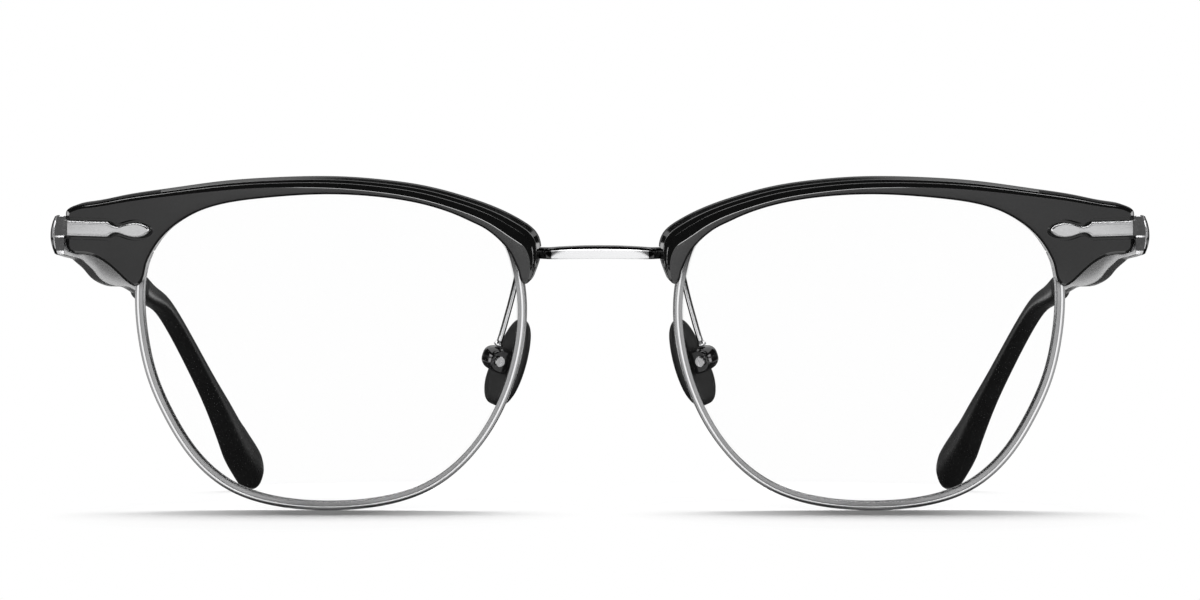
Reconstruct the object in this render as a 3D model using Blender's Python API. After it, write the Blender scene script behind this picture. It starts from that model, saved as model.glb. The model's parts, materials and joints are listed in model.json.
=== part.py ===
"""Browline eyeglass frame: plastic brows on metal rims, with folding temples.

Metres, +Z up. The wearer looks along -Y, so the wearer's right is at -X.
The frame stands on the bottoms of its rims and on its two temple tips.
"""
import math

import bmesh
import bpy
import numpy as np
from mathutils import Matrix, Vector
from mathutils.geometry import delaunay_2d_cdt

# Rims and the curve of the front
RIM_WIDTH = 0.0509
RIM_HEIGHT = 0.0424
RIM_GAP = 0.0191
RIM_WALL = 0.00105
RIM_DEPTH = 0.0020
RIM_EDGE = 0.00022
RIM_LAND_SHARE = 0.55
LENS_RADIUS = 0.130
WRAP_DEG = 5.0
FRONT_TILT_DEG = 8.0
RIM_OUTLINE_SHARES = (
    (0.0, 1.0), (-0.27, 0.985), (-0.53, 0.93), (-0.75, 0.83), (-0.905, 0.69), (-0.967, 0.50),
    (-0.992, 0.30), (-0.978, 0.02), (-0.88, -0.36), (-0.75, -0.615), (-0.51, -0.865), (-0.26, -0.968),
    (0.0, -1.0), (0.27, -0.982), (0.53, -0.885), (0.715, -0.70), (0.85, -0.45), (0.94, -0.20),
    (0.985, 0.045), (1.0, 0.275), (0.972, 0.52), (0.87, 0.72), (0.655, 0.892), (0.34, 0.972))

# Lenses and the groove that holds them
GROOVE_DEPTH = 0.00040
GROOVE_WIDTH = 0.0010
LENS_THICKNESS = 0.0015
LENS_LAND = 0.0003
FACE_SPACING = 0.008

# Brows
BROW_LIP = 0.0017
BROW_LAP = 0.0012
STEP_WIDTH = 0.0016
STEP_DEPTH = 0.0012
BROW_BACK_EDGE = 0.00025
# Outer edge from the temple end round to the nose, in half widths and half heights of the rim,
# with the width of the stepped band there as a share of STEP_WIDTH
BROW_OUTLINE_SHARES = (
    (0.962, 0.384, 0.12), (0.982, 0.370, 0.14), (1.006, 0.377, 0.16), (1.061, 0.427, 0.18),
    (1.143, 0.507, 0.20), (1.246, 0.552, 0.24), (1.338, 0.574, 0.30), (1.352, 0.606, 0.36),
    (1.356, 0.656, 0.40), (1.356, 0.770, 0.38), (1.351, 0.800, 0.38), (1.330, 0.821, 0.39),
    (1.218, 0.860, 0.42), (1.061, 0.901, 0.50), (0.853, 0.948, 0.54), (0.542, 1.008, 0.66),
    (0.338, 1.029, 0.68), (0.134, 1.0405, 0.76), (-0.069, 1.0405, 0.83), (-0.271, 1.023, 0.88),
    (-0.4715, 0.989, 0.94), (-0.672, 0.927, 1.02), (-0.872, 0.838, 1.22), (-0.973, 0.773, 1.40),
    (-1.046, 0.697, 1.30), (-1.066, 0.620, 1.05), (-1.055, 0.520, 0.55), (-1.035, 0.455, 0.24),
    (-1.012, 0.418, 0.16), (-0.990, 0.405, 0.12), (-0.968, 0.420, 0.10))
BROW_LENS_EDGE_SHARE = 0.08
# Rows of the stepped band: share of the band's width in from the edge, share of STEP_DEPTH
STEP_ROWS_SHARES = ((1.0, 0.0), (0.62, 0.36), (0.54, 0.34), (0.47, 0.62),
                    (0.29, 0.66), (0.22, 0.64), (0.13, 0.92), (0.0, 1.0))

# Fits between touching pieces, and how far a cutter runs past what it cuts
SEAT_GAP = 0.00006
CUT_OVERRUN = 0.0010

# Bridge
BRIDGE_HEIGHT = 0.00146
BRIDGE_THICKNESS = 0.0016
BRIDGE_BOW = 0.0018
BRIDGE_RISE = 0.0003
BRIDGE_EDGE = 0.00025
BRIDGE_LEVEL_SHARE = 0.582
# Share of the way out to the middle of the rim's wall, of the bow, of the rise and of the height
BRIDGE_PATH_SHARES = ((1.0, 0.0, 0.0, 0.86), (0.72, 0.02, 0.0, 0.86), (0.625, 0.26, 0.1, 0.88),
                      (0.54, 0.72, 0.35, 0.92), (0.38, 0.93, 0.7, 0.96), (0.185, 0.99, 0.93, 1.0))

# Endpieces: a bar with a leaf on the brow, and a plate along the side
BAR_HALF_HEIGHT = 0.00106
BAR_PROUD = 0.00035
BAR_BEVEL = 0.00030
BAR_RECESS = 0.0007
RECESS_MARGIN = 0.00035
BAR_LEVEL_SHARE = 0.711
LEAF_REACH = 0.01310
# Share of the reach from the leaf's tip, share of the bar's half height
LEAF_SHARES = ((0.004, 0.14), (0.022, 0.36), (0.055, 0.64), (0.105, 0.87), (0.165, 0.94), (0.235, 0.82),
               (0.295, 0.59), (0.345, 0.455), (0.385, 0.52), (0.418, 0.78), (0.440, 0.97), (0.455, 1.0))
PLATE_HEIGHT = 0.0051
PLATE_THICKNESS = 0.00145
PLATE_CROWN = 0.00045
PLATE_EDGE = 0.00035
PLATE_CORNER = 0.0012
PLATE_DROP = 0.00086

# Hinges
HINGE_SETBACK = 0.0081
BARREL_RADIUS = 0.00115
BARREL_INBOARD = 0.00135
BARREL_HEIGHT = 0.0042
MIDDLE_KNUCKLE_SHARE = 0.36
HINGE_LEAF_START = 0.0002
LEAF_THICKNESS = 0.00060
LEAF_LENGTH = 0.0033
LEAF_CLEARANCE = 0.00018
HINGE_SCREW_RADIUS = 0.00055
HINGE_SCREW_FIT = 0.00005
SCREW_HEAD_RADIUS = 0.00095
SCREW_HEAD_HEIGHT = 0.00045
DRIVE_SLOT_WIDTH = 0.00026
DRIVE_SLOT_DEPTH = 0.00022

# Temples, measured back from the hinge
TEMPLE_REACH = 0.1300
TEMPLE_INWARD = 0.0140
# Share of the reach, share of TEMPLE_INWARD, lower and upper edge as shares of the height
TEMPLE_SHARES = (
    (0.0, 0.00, -0.50, 0.50), (0.035, 0.00, -0.49, 0.47), (0.078, 0.01, -0.55, 0.35),
    (0.125, 0.02, -0.68, 0.30), (0.165, 0.03, -0.85, 0.25), (0.215, 0.04, -0.965, 0.16),
    (0.270, 0.055, -1.00, 0.05), (0.325, 0.07, -0.965, -0.09), (0.385, 0.08, -0.94, -0.28),
    (0.440, 0.09, -1.01, -0.40), (0.490, 0.10, -1.09, -0.47))
TEMPLE_THICKNESS_END = 0.00115
TEMPLE_CROWN_END = 0.0002
TEMPLE_SHOULDER_SHARE = 0.8
TEMPLE_BUTT_GAP = 0.00006
TIP_START_SHARE = 0.490
# Centre line of the tip: share of the reach, of the inward run and of the drop
TIP_PATH_SHARES = (
    (0.490, 0.100, 0.110), (0.560, 0.107, 0.1336), (0.620, 0.155, 0.1564), (0.672, 0.217, 0.2076),
    (0.730, 0.319, 0.3087), (0.800, 0.464, 0.4580), (0.870, 0.622, 0.6251), (0.935, 0.742, 0.7675),
    (0.985, 0.864, 0.8759), (1.0, 0.902, 0.9227))
# Share of the tip's length, share of the end's height, share of the end's thickness
TIP_SIZE_SHARES = (
    (0.0, 0.45, 0.62), (0.015, 0.50, 0.72), (0.10, 0.455, 0.74), (0.30, 0.375, 0.69), (0.50, 0.405, 0.72),
    (0.70, 0.58, 0.81), (0.84, 0.99, 1.0), (0.92, 1.0, 1.0), (0.968, 0.90, 0.92), (0.990, 0.62, 0.70))
TIP_HEIGHT = 0.0072
TIP_THICKNESS = 0.0041
CORE_HEIGHT = 0.0013
CORE_THICKNESS = 0.0010
CORE_REACH_SHARE = 0.82
CORE_SPARE_SHARE = 0.01

# Rim locks behind the brows
LOCK_LEVEL_SHARE = 0.60
LOCK_REACH = 0.0031
LOCK_HEIGHT = 0.0036
LOCK_DEPTH = 0.0019
LOCK_SLIT = 0.00030
LOCK_SCREW_RADIUS = 0.00045
LOCK_SCREW_EDGE = 0.00095
LOCK_HEAD_RADIUS = 0.00070
POCKET_MARGIN = 0.00020

# Screws that hold the brows from behind
BROW_SCREW_RADIUS = 0.00055
BROW_HEAD_RADIUS = 0.00085
BROW_SCREW_STOP = 0.0016
BAR_SCREW_STOP = 0.00015
LUG_WIDTH = 0.0021
LUG_THICKNESS = 0.0007
LUG_END = 0.00115
NOSE_SCREW_SHARES = (-0.975, 0.698)
NOSE_LUG_ROOT_SHARE = -0.868
TEMPLE_SCREW_SHARES = (1.215, BAR_LEVEL_SHARE)
TEMPLE_LUG_ROOT_SHARE = 0.985

# Nose pads
PAD_LENGTH = 0.0120
PAD_WIDTH = 0.0074
PAD_THICKNESS = 0.0020
PAD_LEAN_DEG = 18.5
PAD_SPLAY_DEG = 30.0
PAD_SIDE = 0.01170
PAD_LEVEL = -0.0027
PAD_SETBACK = 0.0102
PAD_OUTLINE_SHARES = ((-0.06, 1.0), (0.40, 0.86), (0.74, 0.42), (0.98, -0.12), (1.04, -0.60),
                      (0.68, -0.95), (0.06, -1.0), (-0.50, -0.92), (-0.88, -0.60), (-1.0, -0.12),
                      (-0.88, 0.42), (-0.54, 0.86))
PAD_ROWS_SHARES = ((0.80, 0.0), (0.95, 0.14), (1.0, 0.38), (0.95, 0.66), (0.78, 0.90), (0.50, 1.0))
BOX_HEIGHT = 0.0034
BOX_WIDTH = 0.0033
BOX_DEPTH = 0.0024
BOX_WALL = 0.00045
BOX_EDGE = 0.0004
BOX_STANDOFF = 0.00038
BOX_CLEARANCE = 0.00012
PAD_SCREW_RADIUS = 0.00042
PAD_SCREW_FIT = 0.00005
PAD_HEAD_RADIUS = 0.00072
PAD_HEAD_HEIGHT = 0.00035
INSERT_RADIUS = 0.00070
INSERT_FOOT = 0.0012
ARM_RADIUS = 0.00038
ARM_COLLAR_RADIUS = 0.00062
ARM_COLLAR_HEIGHT = 0.00035
ARM_FOOT_LEVEL_SHARE = 0.47
# Shares of the way from the foot to the box across, down and back
ARM_PATH_SHARES = ((0.0, 0.0, 0.0), (0.03, 0.03, 0.22), (0.13, 0.14, 0.52), (0.34, 0.38, 0.74),
                   (0.62, 0.66, 0.90), (0.90, 0.92, 1.0), (1.0, 1.0, 1.0))

# Counts
RIM_STEPS = 2
BROW_STEPS = 2
ROUND_SIDES = 16
SMALL_SIDES = 12
WIRE_SIDES = 8
SECTION_SIDES = 12
CORNER_STEPS = 4
CORE_STEPS = 9
DROP_ROUNDS = 6
SOFT_POWER = 2.6
FILL_EPSILON = 1e-7

SMOOTH_ANGLE_DEG = 35.0
SIDES = (("right", -1), ("left", 1))

# Worked out from the sizes above
WRAP = math.radians(WRAP_DEG)
TILT = math.radians(FRONT_TILT_DEG)
RIM_CENTRE = (RIM_GAP + RIM_WIDTH) / 2
HALF_WIDTH = RIM_WIDTH / 2
HALF_HEIGHT = RIM_HEIGHT / 2
RIM_BACK = BROW_LIP + RIM_DEPTH
BROW_DEPTH = RIM_BACK
BARREL_SIDE = BARREL_INBOARD - SEAT_GAP


def smooth_curve(points, steps, closed=False):
    """Points along a cubic curve through the given points, with as many steps in each span."""
    knots = np.array(points, dtype=float)
    if closed:
        knots = np.vstack([knots, knots[:1]])
    spans = np.linalg.norm(np.diff(knots, axis=0), axis=1)
    count = len(knots)
    size = count - 1 if closed else count
    matrix = np.zeros((size, size))
    right = np.zeros((size, knots.shape[1]))
    for i in range(size):
        if not closed and i in (0, count - 1):
            near = 0 if i == 0 else count - 2
            other = 1 if i == 0 else count - 2
            matrix[i, i] = 2 / spans[near]
            matrix[i, other] = 1 / spans[near]
            right[i] = 3 * (knots[near + 1] - knots[near]) / spans[near] ** 2
            continue
        before, after = spans[i - 1], spans[i]
        matrix[i, (i - 1) % size] += 1 / before
        matrix[i, i] += 2 / before + 2 / after
        matrix[i, (i + 1) % size] += 1 / after
        behind = knots[i] - knots[i - 1] if i else knots[0] - knots[-2]
        right[i] = 3 * (behind / before ** 2 + (knots[i + 1] - knots[i]) / after ** 2)
    slopes = np.linalg.solve(matrix, right)
    if closed:
        slopes = np.vstack([slopes, slopes[:1]])
    result = []
    for i in range(count - 1):
        span = spans[i]
        for k in range(steps):
            t = k / steps
            result.append((2 * t ** 3 - 3 * t ** 2 + 1) * knots[i]
                          + (t ** 3 - 2 * t ** 2 + t) * span * slopes[i]
                          + (3 * t ** 2 - 2 * t ** 3) * knots[i + 1]
                          + (t ** 3 - t ** 2) * span * slopes[i + 1])
    if not closed:
        result.append(knots[-1])
    return np.array(result)


def inset(loop, distance):
    """A closed outline moved inwards by a distance, or by one distance for each point."""
    before = np.roll(loop, 1, axis=0)
    after = np.roll(loop, -1, axis=0)
    run = after - before
    run /= np.linalg.norm(run, axis=1)[:, None]
    area = np.sum(loop[:, 0] * after[:, 1] - loop[:, 1] * after[:, 0])
    inward = np.column_stack([-run[:, 1], run[:, 0]]) * (1 if area > 0 else -1)
    return loop + inward * np.reshape(distance, (-1, 1))


def circle(radius, sides):
    """Points of a circle about the origin."""
    angles = [2 * math.pi * i / sides for i in range(sides)]
    return np.array([(radius * math.cos(a), radius * math.sin(a)) for a in angles])


def bow(across, up):
    """How far the front curves back at a place on it."""
    off = across - RIM_CENTRE
    return off * math.tan(WRAP) + (off ** 2 + up ** 2) / (2 * LENS_RADIUS)


def front_point(side, across, up, depth):
    """A point on or behind the curved front, in the front's own frame."""
    return Vector((side * (across - depth * math.sin(WRAP)),
                   bow(across, up) + depth * math.cos(WRAP), up))


def front_ring(side, loop, depth):
    """An outline of the front at one depth, or at one depth for each of its points."""
    depths = np.broadcast_to(depth, (len(loop),))
    return [front_point(side, p[0], p[1], d) for p, d in zip(loop, depths)]


def fill(loop, spacing):
    """Inner points and triangles that fill a closed flat outline."""
    low, high = loop.min(axis=0), loop.max(axis=0)
    inner = []
    after = np.roll(loop, -1, axis=0)
    for x in np.arange(low[0] + spacing / 2, high[0], spacing):
        for y in np.arange(low[1] + spacing / 2, high[1], spacing):
            crossing = (loop[:, 1] > y) != (after[:, 1] > y)
            edges = np.where(crossing, after[:, 1] - loop[:, 1], 1.0)
            at = loop[:, 0] + (y - loop[:, 1]) * (after[:, 0] - loop[:, 0]) / edges
            inside = np.count_nonzero(crossing & (at > x)) % 2
            clear = np.min(np.hypot(loop[:, 0] - x, loop[:, 1] - y)) > spacing / 3
            if inside and clear:
                inner.append((x, y))
    unit = float(np.max(high - low))
    flat = [Vector(p) / unit for p in [*map(tuple, loop), *inner]]
    count = len(loop)
    edges = [(i, (i + 1) % count) for i in range(count)]
    result = delaunay_2d_cdt(flat, edges, [], 1, FILL_EPSILON)
    origins = [first[0] for first in result[3]]
    triangles = [tuple(origins[i] for i in face) for face in result[2]]
    return inner, triangles


def material(name, colour, roughness, metallic, alpha=1.0):
    """A plain material, made once for each name."""
    made = bpy.data.materials.get(name)
    if made:
        return made
    made = bpy.data.materials.new(name)
    made.use_nodes = True
    shader = made.node_tree.nodes["Principled BSDF"]
    shader.inputs["Base Color"].default_value = (*colour, 1.0)
    shader.inputs["Roughness"].default_value = roughness
    shader.inputs["Metallic"].default_value = metallic
    shader.inputs["Alpha"].default_value = alpha
    return made


def satin_metal():
    return material("satin_silver", (0.62, 0.62, 0.63), 0.32, 1.0)


def bright_metal():
    return material("polished_silver", (0.72, 0.72, 0.74), 0.12, 1.0)


def black_plastic():
    return material("black_brow", (0.012, 0.012, 0.013), 0.22, 0.0)


def black_tip():
    return material("black_tip", (0.010, 0.010, 0.011), 0.30, 0.0)


def black_rubber():
    return material("black_pad", (0.018, 0.018, 0.019), 0.55, 0.0)


def clear_lens():
    return material("clear_lens", (0.95, 0.97, 0.97), 0.03, 0.0, 0.15)


def add_object(name, points, faces, finish, parent=None):
    """A named object from points and faces, with its faces turned outwards."""
    mesh = bpy.data.meshes.new(name)
    mesh.from_pydata([tuple(p) for p in points], [], faces)
    work = bmesh.new()
    work.from_mesh(mesh)
    bmesh.ops.recalc_face_normals(work, faces=work.faces)
    work.to_mesh(mesh)
    work.free()
    mesh.shade_smooth()
    mesh.set_sharp_from_angle(angle=math.radians(SMOOTH_ANGLE_DEG))
    made = bpy.data.objects.new(name, mesh)
    bpy.context.scene.collection.objects.link(made)
    if finish:
        mesh.materials.append(finish)
    made.parent = parent
    return made


def stack(name, rings, finish, parent=None, caps=(None, None)):
    """A closed solid through a stack of rings, with a flat or a filled cap at each end."""
    count = len(rings[0])
    points = [p for ring in rings for p in ring]
    faces = []
    for k in range(len(rings) - 1):
        for i in range(count):
            j = (i + 1) % count
            faces.append((k * count + i, k * count + j, (k + 1) * count + j, (k + 1) * count + i))
    for first, cap in ((0, caps[0]), ((len(rings) - 1) * count, caps[1])):
        if cap is None:
            faces.append(tuple(first + i for i in range(count)))
            continue
        inner, triangles = cap
        base = len(points)
        points.extend(inner)
        for triangle in triangles:
            faces.append(tuple(first + i if i < count else base + i - count for i in triangle))
    return add_object(name, points, faces, finish, parent)


def front_stack(name, side, rows, finish, parent):
    """A solid on the curved front, from rows of an outline and a depth."""
    caps = []
    for loop, depth in (rows[0], rows[-1]):
        inner, triangles = fill(loop, FACE_SPACING)
        level = float(np.mean(np.broadcast_to(depth, (len(loop),))))
        caps.append(([front_point(side, x, y, level) for x, y in inner], triangles))
    rings = [front_ring(side, loop, depth) for loop, depth in rows]
    return stack(name, rings, finish, parent, caps)


def as_tool(tool):
    """Marks an object as a cutter, which is no piece of the frame."""
    tool.hide_render = True
    tool.display_type = "WIRE"
    tool.data.materials.clear()
    return tool


def change(target, tool, operation):
    """Cuts a tool's shape from a piece, or joins it on."""
    modifier = target.modifiers.new(operation.lower(), "BOOLEAN")
    modifier.operation = operation
    modifier.solver = "EXACT"
    modifier.object = as_tool(tool)


def cut(target, *tools):
    for tool in tools:
        change(target, tool, "DIFFERENCE")


def join(target, *tools):
    for tool in tools:
        change(target, tool, "UNION")


def frame_matrix(origin, along, across):
    """A frame whose Z runs along one direction and whose X leans to another."""
    z_axis = Vector(along).normalized()
    y_axis = z_axis.cross(Vector(across)).normalized()
    x_axis = y_axis.cross(z_axis)
    return Matrix.Translation(origin) @ Matrix((x_axis, y_axis, z_axis)).transposed().to_4x4()


def turned(name, frame, profile, sides, finish, parent):
    """A round solid about a frame's Z axis, from radius and height pairs."""
    rings = []
    for radius, height in profile:
        rings.append([frame @ Vector((x, y, height)) for x, y in circle(radius, sides)])
    return stack(name, rings, finish, parent)


def block(name, frame, low, high, finish, parent):
    """A box between two corners of a frame."""
    corners = ((low[0], low[1]), (high[0], low[1]), (high[0], high[1]), (low[0], high[1]))
    rings = [[frame @ Vector((x, y, z)) for x, y in corners] for z in (low[2], high[2])]
    return stack(name, rings, finish, parent)


def bevel(target, width, segments=2):
    """Rounds a piece's edges."""
    modifier = target.modifiers.new("bevel", "BEVEL")
    modifier.width = width
    modifier.segments = segments
    modifier.limit_method = "ANGLE"
    modifier.harden_normals = False


def swept(name, path, sections, finish, parent, up=Vector((0, 0, 1))):
    """A solid along a path, with one flat section for each of its points."""
    rings = []
    for i, point in enumerate(path):
        run = Vector(path[min(i + 1, len(path) - 1)]) - Vector(path[max(i - 1, 0)])
        side = run.cross(up).normalized()
        top = side.cross(run).normalized()
        rings.append([Vector(point) + side * x + top * y for x, y in sections[i]])
    return stack(name, rings, finish, parent)


def slotted_screw(name, frame, shank_radius, shank_length, head_radius, head_height, finish, parent):
    """A screw with its head above the frame's origin and its shank below, slotted across."""
    edge = head_height / 4
    profile = ((shank_radius - edge, -shank_length), (shank_radius, edge - shank_length),
               (shank_radius, 0), (head_radius, 0), (head_radius, head_height - edge),
               (head_radius - edge, head_height))
    screw = turned(name, frame, profile, SMALL_SIDES, finish, parent)
    half = DRIVE_SLOT_WIDTH / 2
    reach = head_radius + CUT_OVERRUN
    slot = block(name + "_slot", frame, (-reach, -half, head_height - DRIVE_SLOT_DEPTH),
                 (reach, half, head_height + CUT_OVERRUN), None, parent)
    cut(screw, slot)
    return screw


def rim_key_points(distance=0.0):
    """The rim's outline points, moved inwards by a distance."""
    shares = np.array(RIM_OUTLINE_SHARES)
    loop = shares * (HALF_WIDTH, HALF_HEIGHT) + (RIM_CENTRE, 0)
    return inset(loop, distance)


def rim_outline(distance=0.0):
    """The rim's outer edge as a smooth closed outline, moved inwards by a distance."""
    return inset(smooth_curve(rim_key_points(), RIM_STEPS, closed=True), distance)


def place(shares):
    """A place on the front from shares of the rim's half width and half height."""
    return RIM_CENTRE + shares[0] * HALF_WIDTH, shares[1] * HALF_HEIGHT


def rim_plug(side, parent):
    """The space that the rim and its lens fill, with the seat gap round it."""
    outline = rim_outline(-SEAT_GAP)
    rows = ((outline, BROW_LIP - SEAT_GAP), (outline, RIM_BACK + SEAT_GAP))
    return front_stack("rim_space", side, rows, None, parent)


def make_rim(side, word, parent):
    """A split metal rim: one profile swept round the lens, open at the lock."""
    outline = rim_outline()
    level = LOCK_LEVEL_SHARE * HALF_HEIGHT
    outer = np.where(outline[:, 0] > RIM_CENTRE, abs(outline[:, 1] - level), math.inf)
    start = int(np.argmin(outer))
    groove_low = (RIM_DEPTH - GROOVE_WIDTH) / 2
    middle = RIM_DEPTH / 2
    section = ((0, RIM_EDGE), (RIM_EDGE, 0), (RIM_WALL * RIM_LAND_SHARE, 0), (RIM_WALL, RIM_EDGE),
               (RIM_WALL, groove_low), (RIM_WALL - GROOVE_DEPTH, middle),
               (RIM_WALL, RIM_DEPTH - groove_low), (RIM_WALL, RIM_DEPTH - RIM_EDGE),
               (RIM_WALL - RIM_EDGE, RIM_DEPTH), (RIM_EDGE, RIM_DEPTH), (0, RIM_DEPTH - RIM_EDGE))
    loops = [inset(outline, step) for step, _ in section]
    rings = []
    for i in range(len(outline) + 1):
        index = (start + i) % len(outline)
        ring = [loop[index] for loop in loops]
        if i in (0, len(outline)):
            toward = outline[(index + (1 if i == 0 else -1)) % len(outline)] - outline[index]
            ring = [p + toward / np.linalg.norm(toward) * LOCK_SLIT / 2 for p in ring]
        rings.append([front_point(side, p[0], p[1], BROW_LIP + section[k][1])
                      for k, p in enumerate(ring)])
    return stack("rim_" + word, rings, satin_metal(), parent)


def make_lens(side, word, parent):
    """A curved lens with a ridge round its edge that sits in the rim's groove."""
    edge = RIM_WALL + SEAT_GAP
    ridge = rim_outline(edge - GROOVE_DEPTH)
    front = BROW_LIP + (RIM_DEPTH - LENS_THICKNESS) / 2
    middle = BROW_LIP + RIM_DEPTH / 2
    shoulder = GROOVE_WIDTH / 2 - SEAT_GAP
    rows = ((rim_outline(edge + LENS_LAND), front), (rim_outline(edge), middle - shoulder),
            (ridge, middle), (rim_outline(edge), middle + shoulder),
            (rim_outline(edge + LENS_LAND), front + LENS_THICKNESS))
    return front_stack("lens_" + word, side, rows, clear_lens(), parent)


def brow_outline():
    """The brow's outline with the width of its stepped band at each point."""
    table = np.array(BROW_OUTLINE_SHARES)
    outer = np.column_stack([table[:, :2] * (HALF_WIDTH, HALF_HEIGHT) + (RIM_CENTRE, 0),
                             table[:, 2] * STEP_WIDTH])
    ends = max(outer[0][1], outer[-1][1])
    upper = [p for p in rim_key_points(BROW_LAP) if p[1] > ends]
    upper.sort(key=lambda p: p[0])
    lens_side = [(p[0], p[1], BROW_LENS_EDGE_SHARE * STEP_WIDTH) for p in upper]
    return smooth_curve(np.vstack([outer, lens_side]), BROW_STEPS, closed=True)


def brow_rows():
    """The brow's rows: an outline and the depth of each of its points."""
    table = brow_outline()
    outline, band = table[:, :2], table[:, 2]
    rows = []
    for width_share, depth_share in STEP_ROWS_SHARES:
        depth = depth_share * STEP_DEPTH * np.clip(band / STEP_WIDTH, 0, 1)
        rows.append((inset(outline, band * width_share), depth))
    rows.append((outline, BROW_DEPTH - BROW_BACK_EDGE))
    rows.append((inset(outline, BROW_BACK_EDGE), BROW_DEPTH))
    return rows


def make_brow(side, word, parent):
    """A brow of black plastic with two fine steps along its top."""
    return front_stack("brow_" + word, side, brow_rows(), black_plastic(), parent)


def bar_outline(grow=0.0, overrun=0.0):
    """The endpiece's bar and leaf, seen from the front, with the bar's outer end moved out."""
    outer = plate_outer() - PLATE_THICKNESS / 2 + overrun
    tip = plate_outer() - LEAF_REACH
    upper = [(tip + along * LEAF_REACH, high * BAR_HALF_HEIGHT) for along, high in LEAF_SHARES]
    half = smooth_curve(upper, 2)
    half = np.vstack([half, [(outer, BAR_HALF_HEIGHT)]])
    loop = np.vstack([half, half[::-1] * (1, -1)])
    loop = inset(loop, -grow)
    return loop + (0, BAR_LEVEL_SHARE * HALF_HEIGHT)


def plate_outer():
    """How far out the side plates' outer faces lie."""
    end = max(share[0] for share in BROW_OUTLINE_SHARES)
    return RIM_CENTRE + end * HALF_WIDTH + SEAT_GAP + PLATE_THICKNESS


def brow_end_point():
    """The face of the brow's outer end at the endpiece's level, in the world's directions."""
    across = plate_outer() - PLATE_THICKNESS
    up = BAR_LEVEL_SHARE * HALF_HEIGHT
    back = bow(across, up)
    return Vector((across, back * math.cos(TILT) - up * math.sin(TILT),
                   up * math.cos(TILT) + back * math.sin(TILT)))


def plate_section(thickness, low, high, crown, edge):
    """A side plate's section: flat inside, crowned outside. X runs outwards from the inner face."""
    middle = (low + high) / 2
    quarter = (high - low) / 4
    return ((0, low), (0, high), (thickness - edge, high), (thickness, high - edge),
            (thickness + crown, middle + quarter), (thickness + crown, middle - quarter),
            (thickness, low + edge), (thickness - edge, low))


def plate_level():
    """The middle height of the side plates above the front's datum."""
    return brow_end_point().z - PLATE_DROP


def butt_place():
    """Where the temples butt on the side plates: distance back from the front's datum."""
    return brow_end_point().y - BAR_PROUD + HINGE_SETBACK


def make_endpiece(side, word, parent, tilt_back):
    """An endpiece: a bar with a leaf on the brow, turned back into a side plate."""
    narrow = bar_outline(-BAR_BEVEL)
    rows = ((bar_outline(), BAR_RECESS - SEAT_GAP), (bar_outline(), BAR_BEVEL - BAR_PROUD),
            (narrow, -BAR_PROUD))
    endpiece = front_stack("endpiece_" + word, side, rows, satin_metal(), parent)
    front = brow_end_point().y - BAR_PROUD
    inner = plate_outer() - PLATE_THICKNESS
    level = plate_level()
    section = plate_section(PLATE_THICKNESS, level - PLATE_HEIGHT / 2,
                            level + PLATE_HEIGHT / 2, PLATE_CROWN, PLATE_EDGE)
    stations = [(butt_place(), 0)]
    for k in range(CORNER_STEPS + 1):
        turn = math.pi / 2 * k / CORNER_STEPS
        stations.append((front + PLATE_CORNER * (1 - math.sin(turn)),
                         PLATE_CORNER * (1 - math.cos(turn))))
    rings = []
    for back, shorter in stations:
        share = 1 - shorter / (PLATE_THICKNESS + PLATE_CROWN)
        rings.append([tilt_back @ Vector((side * (inner + x * share), back, z)) for x, z in section])
    join(endpiece, stack("side_plate_" + word, rings, None, parent))
    return endpiece


def front_block(name, side, low, high, depths, finish, parent):
    """A block on the curved front, between two corners and two depths."""
    loop = np.array([(low[0], low[1]), (high[0], low[1]), (high[0], high[1]), (low[0], high[1])])
    rings = [front_ring(side, loop, depth) for depth in depths]
    return stack(name, rings, finish, parent)


def front_slopes(across, up):
    """How fast the front curves back, across and upwards, at a place on it."""
    return math.tan(WRAP) + (across - RIM_CENTRE) / LENS_RADIUS, up / LENS_RADIUS


def back_direction(side, across, up):
    """Square to the curved front and backwards, at a place on it."""
    slope, rise = front_slopes(across, up)
    return Vector((-side * slope, 1, -rise)).normalized()


def square_behind(across, up, depth):
    """The place that lies square behind another one, a depth further back."""
    slope, rise = front_slopes(across, up)
    back = depth * (math.cos(WRAP) + slope * math.sin(WRAP)) / (1 + slope ** 2 + rise ** 2)
    return across - slope * back + depth * math.sin(WRAP), up - rise * back


def bridge_rings(grow, opening=0.0):
    """Sections of the bridge from one rim to the other, with their backs moved back."""
    level = BRIDGE_LEVEL_SHARE * HALF_HEIGHT
    reach = rim_edge_at(BRIDGE_LEVEL_SHARE, outer=False) + RIM_WALL / 2
    base = front_point(1, reach, level, BROW_LIP + RIM_DEPTH / 2).y
    half = [(x * reach, base - bend * BRIDGE_BOW, level + rise * BRIDGE_RISE, tall)
            for x, bend, rise, tall in smooth_curve(BRIDGE_PATH_SHARES, 2)]
    middle = [(0, base - BRIDGE_BOW, level + BRIDGE_RISE, 1.0)]
    path = [(-x, y, z, tall) for x, y, z, tall in half] + middle + half[::-1]
    rings = []
    for i, (x, y, z, tall) in enumerate(path):
        before, after = path[max(i - 1, 0)], path[min(i + 1, len(path) - 1)]
        run = Vector((after[0] - before[0], after[1] - before[1], 0)).normalized()
        back = Vector((-run.y, run.x, 0))
        high = tall * BRIDGE_HEIGHT / 2 + grow
        near = -BRIDGE_THICKNESS / 2 - grow
        far = BRIDGE_THICKNESS / 2 + grow + opening
        edge = BRIDGE_EDGE
        corners = ((near, -high + edge), (near, high - edge), (near + edge, high),
                   (far - edge, high), (far, high - edge), (far, -high + edge),
                   (far - edge, -high), (near + edge, -high))
        rings.append([Vector((x, y, z)) + back * b + Vector((0, 0, v)) for b, v in corners])
    return rings


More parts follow.
